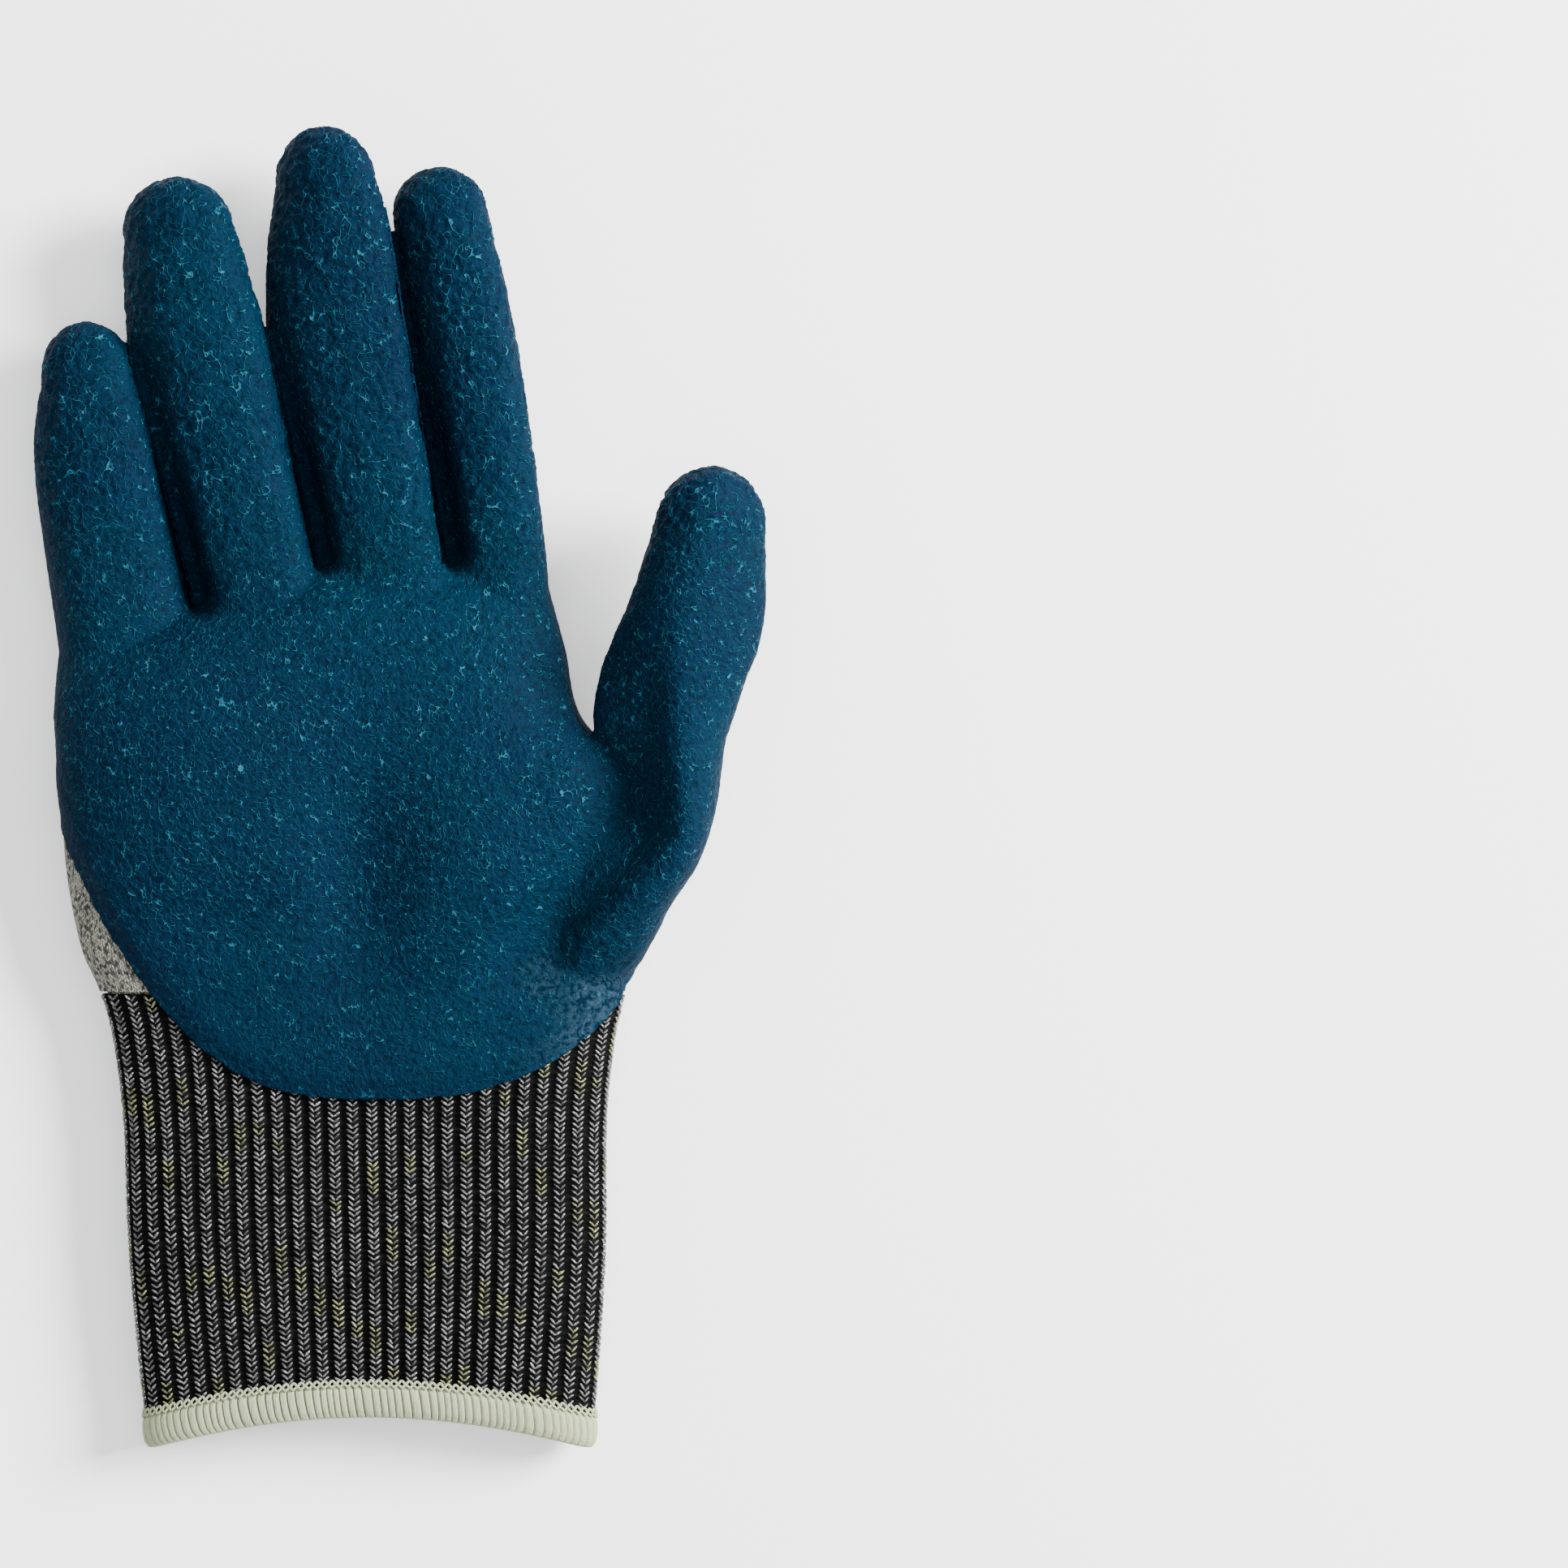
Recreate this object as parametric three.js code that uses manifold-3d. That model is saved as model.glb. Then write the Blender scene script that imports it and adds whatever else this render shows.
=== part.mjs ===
// A latex coated grip glove for the right hand, lying palm up, in millimetres.
// X runs across the palm to the thumb, Y from the cuff to the fingertips, Z up out of the palm.
// A knitted liner in six pieces, a ribbed cuff and an overlocked hem carry one dipped latex skin.
import * as THREE from "three";
import { mergeVertices } from "three/addons/utils/BufferGeometryUtils.js";
import Module from "manifold-3d";

const wasm = await Module();
wasm.setup();

// Walls and clearances
const linerWall = 1.4;
const coatWall = 1.0;
const fitGap = 0.3;
const skin = coatWall + fitGap;
const floorSettle = 1.5;

// Hand body, from the cuff seam to the webs between the fingers
const palmLength = 81.6;
const palmWidth = 97;
const palmDepth = 28;
const wristWidth = 100;
const wristDepth = 22;
const bodyPower = 2.7;
const webSlant = 0.32;
const webSlantFrom = -7;
const webSlantStart = 0.4;
const palmEndRound = 12;
const palmEndSpread = 1.5;
const palmEndTurns = [38, 66];
const bodySides = 32;
const linerInsideSides = 18;

// Ribbed cuff and its hem
const cuffLength = 80;
const cuffWidth = 87;
const cuffDepth = 20;
const cuffWall = 1.3;
const ribCount = 56;
const ribDepth = 1.1;
const ribTopShare = 0.5;
const hemHeight = 6;
const hemWall = 0.9;
const hemLip = 1.4;
const hemBow = 7;
const hemBowFrom = 0.35;

// Latex skin
const coatDrop = 20;
const coatRiseLittle = 45;
const coatRiseThumb = 24.5;
const coatPowerLittle = 2.55;
const coatPowerThumb = 3;
const coatEdgeWrist = 12;
const coatEdgePalm = 5;
const coatEdgeDigit = 0.42;
const coatEdgeLittle = 0.36;
const coatHalf = 0.567;
const coatArcReach = 1.25;
const coatEdgeRun = 0.5;
const coatPastWebs = 5;
const coatBlockHalf = 0.62;
const coatBlockRoot = 4;
const coatBlockThumb = 0.6;
const tipCover = 15;
const tipTurn = 6;
const wholeDepth = 6;

// Digits. Each root is a share of the palm's width and length, and a positive lean is towards the thumb.
// The width is the one at the root; mid and tip are shares of it. Skew leans a section's top to the thumb.
const digitPower = 2.3;
const thumbPower = 1.6;
const digitSides = 12;
const digitInsideSides = 8;
const digitCapShare = 0.42;
const digitCapTurns = [32, 60, 82];
const insideCapTurns = [38, 72];
const digitRows = [0.3, 0.62];
const rootCut = 2.4;
const fingerGap = 0.6;
const fingerSettle = 0.9;
const fingerCurl = 1.6;
const index = {
  name: "index", across: 0.256, along: 1, lean: -9, length: 75, width: 18.8, mid: 0.99, tip: 0.9, depth: 19,
  bow: 0.9, rise: 7, skew: 0.3,
};
const long = {
  name: "middle", across: 0.034, along: 1, lean: -7.5, length: 82.5, width: 25, mid: 1.1, tip: 0.7,
  depth: 20.5, bow: -1.5, rise: 8.5, skew: 0.4,
};
const ring = {
  name: "ring", across: -0.22, along: 0.958, lean: -10.9, length: 77, width: 25.4, mid: 1.01, tip: 0.8,
  depth: 20, bow: -1.4, rise: 8, skew: 0.35,
};
const little = {
  name: "little", across: -0.483, along: 0.92, lean: -6.4, length: 52, width: 25.4, mid: 0.95, tip: 0.7,
  depth: 18.5, bow: -0.7, rise: 6, skew: 0.15,
};
const thumb = {
  name: "thumb", across: 0.59, along: 0.641, lean: 12.6, length: 47.8, width: 26, depth: 22, bow: 0, rise: 6,
};
const thumbHeight = 15;
const digits = [index, long, ring, little];

// Where two fingers press flat against each other: a place on the palm's end and the lean of the
// parting there.
const partings = [
  { thumbSide: index, littleSide: long, across: 0.157, along: 1, lean: -9.2 },
  { thumbSide: long, littleSide: ring, across: -0.097, along: 1, lean: -11.7 },
  { thumbSide: ring, littleSide: little, across: -0.359, along: 1, lean: -13.5 },
];

// Sections of the body: the edges are shares of its width there, the depth a share of its depth there.
// Along runs from -1 at the hem through 0 at the cuff seam to 1 at the webs.
const bodyForm = [
  { along: -1, little: -0.487, thumb: 0.514, deep: 0.95 },
  { along: -0.6, little: -0.498, thumb: 0.513, deep: 1 },
  { along: -0.3, little: -0.489, thumb: 0.495, deep: 1 },
  { along: -0.1, little: -0.497, thumb: 0.499, deep: 1 },
  { along: 0, little: -0.514, thumb: 0.511, deep: 1 },
  { along: 0.1, little: -0.55, thumb: 0.512, deep: 1.03 },
  { along: 0.3, little: -0.583, thumb: 0.555, deep: 1.06 },
  { along: 0.45, little: -0.589, thumb: 0.58, deep: 1.06 },
  { along: 0.5, little: -0.59, thumb: 0.573, deep: 1.06 },
  { along: 0.62, little: -0.592, thumb: 0.432, deep: 1.03 },
  { along: 0.8, little: -0.601, thumb: 0.392, deep: 0.92 },
  { along: 1, little: -0.598, thumb: 0.35, deep: 0.76 },
];

// Sections of the hem from its edge up: how far up its height, and how much of its lip stands out there.
const hemForm = [
  { up: 0, full: 0.5 },
  { up: 0.22, full: 1 },
  { up: 0.78, full: 1 },
  { up: 1, full: 0.5 },
];

// Sections of a finger from its root to where its tip rounds off: how much of its mid and tip shares its
// width takes there, and its depth as a share of the depth at its root.
const fingerForm = [
  { along: 0, mid: 0, tip: 0, deep: 1 },
  { along: 0.3, mid: 0.45, tip: 0, deep: 0.97 },
  { along: 0.62, mid: 1, tip: 0, deep: 0.95 },
  { along: 0.85, mid: 0.55, tip: 0.45, deep: 0.87 },
  { along: 1, mid: 0, tip: 1, deep: 0.76 },
];

// Sections of the thumb from the wrist to where its tip rounds off. Below its root, along is a share of its
// base length; side is a share of its width, lift one of its rise, and skew is as for a finger.
const thumbBase = 54;
const thumbForm = [
  { along: -1, side: -0.27, wide: 0.95, deep: 0.5, lift: -0.9, skew: 0 },
  { along: -0.8, side: -0.25, wide: 1.02, deep: 0.74, lift: -0.42, skew: 0.25 },
  { along: -0.6, side: -0.085, wide: 0.9, deep: 0.9, lift: 0, skew: 0.43 },
  { along: -0.42, side: 0.13, wide: 0.68, deep: 1, lift: 0.3, skew: 0.45 },
  { along: -0.2, side: 0.13, wide: 0.77, deep: 1, lift: 0.35, skew: 0.3 },
  { along: 0, side: 0, wide: 1.03, deep: 1, lift: 0.4, skew: 0.22 },
  { along: 0.55, side: 0.07, wide: 0.98, deep: 0.92, lift: 0.75, skew: -0.2 },
  { along: 1, side: 0.03, wide: 0.79, deep: 0.8, lift: 0.95, skew: -0.2 },
];

// Where the way into the thumb runs beside the thumb's middle: side and drop are shares of its half sizes.
const thumbThroatHalf = 4.8;
const thumbThroatForm = [
  { along: -0.6, side: -0.6, drop: 0.2 },
  { along: -0.42, side: -0.75, drop: 0.25 },
  { along: -0.2, side: -0.75, drop: 0.25 },
];

// Hollows and swells of the palm: places and reaches are shares of its width and length, lift is in
// millimetres.
const palmRelief = [
  { across: 0, along: 0.25, reachAcross: 0.1, reachAlong: 0.24, lift: -3.6 },
  { across: -0.26, along: 0.157, reachAcross: 0.14, reachAlong: 0.1, lift: -2 },
  { across: 0.06, along: 0.6, reachAcross: 0.26, reachAlong: 0.22, lift: -1.6 },
  { across: -0.36, along: 0.34, reachAcross: 0.16, reachAlong: 0.3, lift: 1.2 },
  { across: 0.23, along: 0.34, reachAcross: 0.12, reachAlong: 0.25, lift: 1.6 },
  { across: 0.37, along: 0.7, reachAcross: 0.06, reachAlong: 0.07, lift: -1.6 },
];

// Reads one column of a table of sections on a smooth curve through its rows.
function readForm(rows, column, at) {
  const last = rows.length - 1;
  let i = 0;
  while (i < last - 1 && at > rows[i + 1].along) i += 1;
  const before = rows[Math.max(i - 1, 0)];
  const from = rows[i];
  const to = rows[i + 1];
  const after = rows[Math.min(i + 2, last)];
  const span = to.along - from.along;
  const t = THREE.MathUtils.clamp((at - from.along) / span, 0, 1);
  const slopeFrom = ((to[column] - before[column]) / (to.along - before.along)) * span;
  const slopeTo = ((after[column] - from[column]) / (after.along - from.along)) * span;
  return (
    from[column] * (2 * t ** 3 - 3 * t ** 2 + 1) +
    slopeFrom * (t ** 3 - 2 * t ** 2 + t) +
    to[column] * (3 * t ** 2 - 2 * t ** 3) +
    slopeTo * (t ** 3 - t ** 2)
  );
}

const signedPower = (value, power) => Math.sign(value) * Math.abs(value) ** power;

// One point of an oval with flattened sides, at an angle from its thumb side over the top.
function ovalPoint(halfWide, halfDeep, power, angle) {
  return [
    halfWide * signedPower(Math.cos(angle), 2 / power),
    halfDeep * signedPower(Math.sin(angle), 2 / power),
  ];
}

// The angles that cut an oval into lengths given as shares of its way round.
function anglesAtShares(halfWide, halfDeep, power, shares) {
  const steps = 720;
  const lengths = [0];
  let [x, z] = ovalPoint(halfWide, halfDeep, power, 0);
  for (let k = 1; k <= steps; k += 1) {
    const [nextX, nextZ] = ovalPoint(halfWide, halfDeep, power, (2 * Math.PI * k) / steps);
    lengths.push(lengths[k - 1] + Math.hypot(nextX - x, nextZ - z));
    [x, z] = [nextX, nextZ];
  }
  let k = 0;
  return shares.map((share) => {
    const wanted = share * lengths[steps];
    while (k < steps - 1 && lengths[k + 1] < wanted) k += 1;
    const part = (wanted - lengths[k]) / (lengths[k + 1] - lengths[k]);
    return (2 * Math.PI * (k + part)) / steps;
  });
}

const evenShares = (count) => Array.from({ length: count }, (_, i) => i / count);

// A closed tube through rings of points, with a flat fan at each end.
function tubeThrough(rings) {
  const sides = rings[0].length;
  const middle = (ring) => ring.reduce((sum, p) => sum.add(p), new THREE.Vector3()).divideScalar(sides);
  const points = [...rings.flat(), middle(rings[0]), middle(rings[rings.length - 1])];
  const startMiddle = points.length - 2;
  const endMiddle = points.length - 1;
  const endRing = (rings.length - 1) * sides;
  const faces = [];
  for (let i = 0; i < sides; i += 1) {
    const j = (i + 1) % sides;
    faces.push(startMiddle, i, j, endMiddle, endRing + j, endRing + i);
    for (let r = 0; r < rings.length - 1; r += 1) {
      const here = r * sides;
      const next = here + sides;
      faces.push(here + i, next + i, next + j, here + i, next + j, here + j);
    }
  }
  const geometry = new THREE.BufferGeometry().setFromPoints(points);
  geometry.setIndex(faces);
  return geometry;
}

// A closed geometry as a solid that can be cut and joined.
function solidOf(geometry) {
  const bare = new THREE.BufferGeometry().setAttribute("position", geometry.getAttribute("position"));
  if (geometry.index) bare.setIndex(geometry.index);
  const merged = mergeVertices(bare, 1e-4);
  return new wasm.Manifold(
    new wasm.Mesh({
      numProp: 3,
      vertProperties: merged.getAttribute("position").array,
      triVerts: new Uint32Array(merged.index.array),
    }),
  );
}

const joined = (solids) => solids.reduce((sum, solid) => sum.add(solid));

// The named mesh of a finished solid.
function pieceOf(name, solid, material) {
  const { numProp, vertProperties, triVerts } = solid.getMesh();
  const position = new THREE.BufferAttribute(new Float32Array(vertProperties), numProp);
  const geometry = new THREE.BufferGeometry().setAttribute("position", position);
  geometry.setIndex(new THREE.BufferAttribute(new Uint32Array(triVerts), 1));
  geometry.computeVertexNormals();
  const mesh = new THREE.Mesh(geometry, material);
  mesh.name = name;
  return mesh;
}

// Cloth lies flat on the table, and an inner layer lies higher by what is outside it.
const floorAt = (inset) => Math.max(inset - skin, 0);

const between = (along, atHem, atSeam, atWebs) =>
  along < 0 ? atSeam + (atSeam - atHem) * along : atSeam + (atWebs - atSeam) * along;

// Rows of sections that the layers share, so that they stay parallel: on the cuff and on the palm.
const cuffRows = [-0.5, -0.1];
const palmRows = [0.1, 0.3, 0.5, 0.62];

const bodyY = (along) => along * (along < 0 ? cuffLength : palmLength);

// How far the palm's hollows and swells lift its upper face at a place.
function reliefAt(x, y) {
  return palmRelief.reduce((sum, spot) => {
    const u = (x / palmWidth - spot.across) / spot.reachAcross;
    const v = (y / palmLength - spot.along) / spot.reachAlong;
    return sum + spot.lift * Math.exp(-u * u - v * v);
  }, 0);
}

// One ring of the hand body. Squash rounds off the palm's end; insets holds one inset for each share.
function bodyRing(along, insets, shares, squash = 1) {
  const width = between(along, cuffWidth, wristWidth, palmWidth);
  const depth = between(along, cuffDepth, wristDepth, palmDepth) * readForm(bodyForm, "deep", along);
  const little = width * readForm(bodyForm, "little", along);
  const toThumb = width * readForm(bodyForm, "thumb", along);
  const middleX = (little + toThumb) / 2;
  const halfWide = (toThumb - little) / 2;
  const middleZ = depth / 2 - skin - floorSettle;
  const angles = anglesAtShares(halfWide, depth / 2, bodyPower, shares);
  return angles.map((angle, i) => {
    const inset = insets[i];
    const deep = (depth / 2) * squash - inset * Math.sqrt(squash);
    const [dx, dz] = ovalPoint(halfWide - inset, deep, bodyPower, angle);
    const x = middleX + dx;
    const bow = hemBow * (dx / halfWide) ** 2 * THREE.MathUtils.smoothstep(-along, hemBowFrom, 1);
    const nearWebs = THREE.MathUtils.smoothstep(along, webSlantStart, 1);
    const slant = webSlant * Math.min(0, x - webSlantFrom) * nearWebs;
    const y = bodyY(along) - bow + slant;
    const upperFace = THREE.MathUtils.smoothstep(dz / (depth / 2), 0, 0.8);
    const relief = reliefAt(x, y) * upperFace * THREE.MathUtils.smoothstep(along, -0.2, 0.1);
    return new THREE.Vector3(x, y, Math.max(middleZ + dz + relief, floorAt(inset)));
  });
}

// A length of the body between two places along it, at one inset, with the rings asked for.
function bodyTube(alongs, inset, sides) {
  const shares = evenShares(sides);
  const insets = shares.map(() => inset);
  return tubeThrough(alongs.map((along) => bodyRing(along, insets, shares)));
}

// The body from a start to the palm's rounded end.
function bodyToEnd(starts, inset, sides) {
  const shares = evenShares(sides);
  const insets = shares.map(() => inset);
  const roundFrom = 1 - palmEndRound / palmLength;
  const roundTo = 1 - (inset * palmEndSpread) / palmLength;
  const plain = [...starts, ...palmRows, roundFrom].map((along) => bodyRing(along, insets, shares));
  const round = palmEndTurns.map((degrees) => {
    const turn = THREE.MathUtils.degToRad(degrees);
    return bodyRing(roundFrom + (roundTo - roundFrom) * Math.sin(turn), insets, shares, Math.cos(turn));
  });
  return tubeThrough([...plain, ...round]);
}

// Where a digit's middle line runs: s is the way along it in millimetres from its root.
function digitStation(digit, s) {
  const { length, width, depth } = digit;
  const cap = digitCapShare * width;
  const isThumb = digit === thumb;
  const share = s < 0 ? s / thumbBase : Math.min(s / (length - cap), 1);
  const form = isThumb ? thumbForm : fingerForm;
  const lean = THREE.MathUtils.degToRad(digit.lean);
  const ahead = new THREE.Vector3(Math.sin(lean), Math.cos(lean), 0);
  const across = new THREE.Vector3(Math.cos(lean), -Math.sin(lean), 0);
  const bowed = digit.bow * Math.sin(Math.PI * (s / length));
  const side = isThumb ? readForm(form, "side", share) * width : bowed;
  const lift = isThumb ? readForm(form, "lift", share) : Math.max(s / length, 0) ** fingerCurl;
  const rest = isThumb ? thumbHeight : depth / 2 - skin - fingerSettle;
  const height = rest + digit.rise * lift;
  const middle = new THREE.Vector3(digit.across * palmWidth, digit.along * palmLength, height)
    .addScaledVector(ahead, s)
    .addScaledVector(across, side);
  const wide = isThumb
    ? readForm(form, "wide", share)
    : 1 + (digit.mid - 1) * readForm(form, "mid", share) + (digit.tip - 1) * readForm(form, "tip", share);
  return {
    middle,
    halfWide: (width / 2) * wide,
    halfDeep: (depth / 2) * readForm(form, "deep", share),
    skew: isThumb
      ? readForm(form, "skew", share)
      : digit.skew * THREE.MathUtils.smoothstep(s, -fingerSink, 0),
  };
}

// Keeps a point of a finger on its own side of the partings from its neighbours.
function keepParted(digit, point, inset) {
  for (const parting of partings) {
    const side = Number(parting.thumbSide === digit) - Number(parting.littleSide === digit);
    const lean = THREE.MathUtils.degToRad(parting.lean);
    const toThumb = new THREE.Vector3(Math.cos(lean), -Math.sin(lean), 0);
    const foot = new THREE.Vector3(parting.across * palmWidth, parting.along * palmLength, 0);
    const clear = side * point.clone().setZ(0).sub(foot).dot(toThumb);
    const short = fingerGap / 2 + inset - clear;
    if (side !== 0 && short > 0) point.addScaledVector(toThumb, side * short);
  }
  return point;
}

// One ring of a digit square to its middle line. Shrink closes the tip.
function digitRing(digit, s, inset, sides, shrink = 1) {
  const step = 0.5;
  const { middle, halfWide, halfDeep, skew } = digitStation(digit, s);
  const ahead = digitStation(digit, s + step).middle.sub(digitStation(digit, s - step).middle).normalize();
  const across = new THREE.Vector3().crossVectors(ahead, new THREE.Vector3(0, 0, 1)).normalize();
  const up = new THREE.Vector3().crossVectors(across, ahead);
  const power = digit === thumb ? thumbPower : digitPower;
  const [wide, deep] = [(halfWide - inset) * shrink, (halfDeep - inset) * shrink];
  return evenShares(sides).map((share) => {
    const [dx, dz] = ovalPoint(wide, deep, power, 2 * Math.PI * share);
    const point = middle.clone().addScaledVector(across, dx + skew * dz).addScaledVector(up, dz);
    point.z = Math.max(point.z, floorAt(inset));
    return keepParted(digit, point, inset);
  });
}

// The same, but between the root and the first place beyond it on the straight run that the latex has there.
function digitSection(digit, s, inset, sides) {
  const [first] = freePlaces(digit);
  if (s <= 0 || s >= first) return digitRing(digit, s, inset, sides);
  const far = digitRing(digit, first, inset, sides);
  return digitRing(digit, 0, inset, sides).map((point, i) => point.lerp(far[i], s / first));
}

// A digit from a list of places, given in millimetres from its root, up to its closed tip.
function digitTube(digit, places, inset, sides, capTurns = digitCapTurns) {
  const cap = digitCapShare * digit.width;
  const capFrom = digit.length - cap;
  const body = [...places, capFrom].map((s) => digitSection(digit, s, inset, sides));
  const tip = capTurns.map((degrees) => {
    const turn = THREE.MathUtils.degToRad(degrees);
    return digitRing(digit, capFrom + (cap - inset) * Math.sin(turn), inset, sides, Math.cos(turn));
  });
  return tubeThrough([...body, ...tip]);
}

const allDigits = [...digits, thumb];
const fingerSink = 16;
const thumbSinks = [-1, -0.8, -0.6, -0.42, -0.2];
const inPalm = (digit) => (digit === thumb ? thumbSinks.map((share) => share * thumbBase) : [-fingerSink]);
const stallStart = rootCut + fitGap;
const freePlaces = (digit) => [
  ...(digit === thumb ? [stallStart] : []),
  ...digitRows.map((share) => share * (digit.length - digitCapShare * digit.width)),
];

// The whole filled hand at an inset, for cutting the latex skin and the palm's liner out of it.
function filledHand(starts, inset) {
  const tubes = allDigits.map((digit) =>
    solidOf(digitTube(digit, [...inPalm(digit), 0, ...freePlaces(digit)], inset, digitSides)),
  );
  return joined([solidOf(bodyToEnd(starts, inset, bodySides)), ...tubes]);
}

// The way from the palm's hollow into the thumb's, wider than where the two would meet by themselves.
function thumbThroat() {
  const rings = thumbThroatForm.map(({ along, side, drop }) => {
    const { middle, halfWide, halfDeep } = digitStation(thumb, along * thumbBase);
    return evenShares(digitInsideSides).map((share) => {
      const [dx, dz] = ovalPoint(thumbThroatHalf, thumbThroatHalf, digitPower, 2 * Math.PI * share);
      return middle.clone().add(new THREE.Vector3(dx + side * halfWide, 0, dz - drop * halfDeep));
    });
  });
  return solidOf(tubeThrough(rings));
}

// The palm and back of the liner: the body with a short root of each digit, open at the seam.
function palmLiner() {
  const root = (digit, inset, sides, end) =>
    solidOf(tubeThrough([...inPalm(digit), 0, end].map((s) => digitSection(digit, s, inset, sides))));
  const outside = joined([
    solidOf(bodyToEnd([0], skin, bodySides)),
    ...allDigits.map((digit) => root(digit, skin, digitSides, rootCut)),
  ]);
  const inset = skin + linerWall;
  const inside = joined([
    solidOf(bodyToEnd([-0.1, 0], inset, linerInsideSides)),
    ...allDigits.map((digit) => root(digit, inset, digitInsideSides, stallStart)),
    thumbThroat(),
  ]);
  return outside.subtract(inside).subtract(blockBelow(0));
}

const farReach = 4 * (palmLength + cuffLength);

// Everything on the cuff's side of a line across the glove.
function blockBelow(y) {
  return solidOf(new THREE.BoxGeometry(farReach, farReach, farReach).translate(0, y - farReach / 2, 0));
}

// The knitted stall of one digit, closed at the tip and open at the root.
function stallLiner(digit) {
  const inset = skin + linerWall;
  const outside = digitTube(digit, [...new Set([stallStart, ...freePlaces(digit)])], skin, digitSides);
  const insidePlaces = [stallStart - 1, ...freePlaces(digit)];
  const inside = digitTube(digit, insidePlaces, inset, digitInsideSides, insideCapTurns);
  return solidOf(outside).subtract(solidOf(inside));
}

// The place on a ring at a share of its way round, on the straight line between two of its points.
function onRing(ringPoints, share) {
  const at = share * ringPoints.length;
  const from = Math.floor(at) % ringPoints.length;
  return ringPoints[from].clone().lerp(ringPoints[(from + 1) % ringPoints.length], at - Math.floor(at));
}

// One ring of the cuff: a flat-topped rib and a narrow groove, over and over.
function ribbedRing(along) {
  const shares = evenShares(bodySides);
  const tops = bodyRing(along, shares.map(() => skin), shares);
  const grooves = bodyRing(along, shares.map(() => skin + ribDepth), shares);
  const halfTop = ribTopShare / 2;
  return evenShares(ribCount).flatMap((share) => [
    onRing(grooves, share),
    onRing(tops, share + (0.5 - halfTop) / ribCount),
    onRing(tops, share + (0.5 + halfTop) / ribCount),
  ]);
}

const alongUp = (height) => -1 + height / cuffLength;

// The cuff: ribs all round it down to the hem, then a plain edge that the hem grips.
function ribbedCuff() {
  const ribBottom = alongUp(hemHeight + fitGap);
  const ribs = tubeThrough([ribBottom, ...cuffRows, -fitGap / cuffLength].map(ribbedRing));
  const edgeRows = [alongUp(hemWall + fitGap), ribBottom, alongUp(hemHeight + 2 * fitGap)];
  const plainEdge = bodyTube(edgeRows, skin + ribDepth, bodySides);
  const insideRows = [alongUp(-hemHeight), ribBottom, ...cuffRows, 0, palmRows[0]];
  const inside = bodyTube(insideRows, skin + ribDepth + cuffWall, bodySides);
  return solidOf(ribs).add(solidOf(plainEdge)).subtract(solidOf(inside));
}

// The hem: a rounded channel that wraps the cuff's plain edge.
function wrappedHem() {
  const shares = evenShares(bodySides);
  const fullInset = skin + ribDepth - fitGap - hemLip;
  const outside = hemForm.map((row) => {
    const inset = fullInset + hemLip * (1 - row.full);
    return bodyRing(alongUp(hemHeight * row.up), shares.map(() => inset), shares);
  });
  const past = alongUp(hemHeight + 2 * fitGap);
  const cuffInside = skin + ribDepth + cuffWall;
  const mouth = bodyTube([alongUp(-hemHeight), past], cuffInside + fitGap + hemWall, bodySides);
  const slotOutside = bodyTube([alongUp(hemWall), past], skin + ribDepth - fitGap, bodySides);
  const slotEnd = alongUp(hemHeight + 3 * fitGap);
  const slotInside = bodyTube([alongUp(-hemHeight), slotEnd], cuffInside + fitGap, bodySides);
  return solidOf(tubeThrough(outside))
    .subtract(solidOf(mouth))
    .subtract(solidOf(slotOutside).subtract(solidOf(slotInside)));
}

// The latex reaches down the wrist in an arc, further on the palm's middle than at its sides.
function coatArc() {
  const half = palmWidth * coatHalf;
  const shape = new THREE.Shape();
  const steps = 12;
  for (let k = -steps; k <= steps; k += 1) {
    const u = (k / steps) * coatArcReach;
    const rise = u < 0 ? coatRiseLittle : coatRiseThumb;
    const power = u < 0 ? coatPowerLittle : coatPowerThumb;
    const [x, y] = [u * half, -coatDrop + rise * Math.abs(u) ** power];
    if (k === -steps) shape.moveTo(x, y);
    else shape.lineTo(x, y);
  }
  shape.lineTo(half * coatArcReach, palmLength + coatPastWebs);
  shape.lineTo(-half * coatArcReach, palmLength + coatPastWebs);
  return new THREE.ExtrudeGeometry(shape, { depth: farReach, bevelEnabled: false });
}

// Seen from the side, the skin's lower edge drops from the wrist to the knuckles.
function coatSide() {
  const run = palmLength * coatEdgeRun;
  const shape = new THREE.Shape();
  shape.moveTo(-cuffLength, coatEdgeWrist);
  shape.lineTo(0, coatEdgeWrist);
  shape.bezierCurveTo(run * 0.4, coatEdgeWrist, run * 0.5, coatEdgePalm, run, coatEdgePalm);
  shape.lineTo(farReach, coatEdgePalm);
  shape.lineTo(farReach, farReach);
  shape.lineTo(-cuffLength, farReach);
  const settings = { depth: farReach, bevelEnabled: false, curveSegments: 8 };
  const geometry = new THREE.ExtrudeGeometry(shape, settings);
  const turned = new THREE.Matrix4().makeBasis(
    new THREE.Vector3(0, 1, 0),
    new THREE.Vector3(0, 0, 1),
    new THREE.Vector3(1, 0, 0),
  );
  return geometry.applyMatrix4(turned).translate(-farReach / 2, 0, 0);
}

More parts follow.
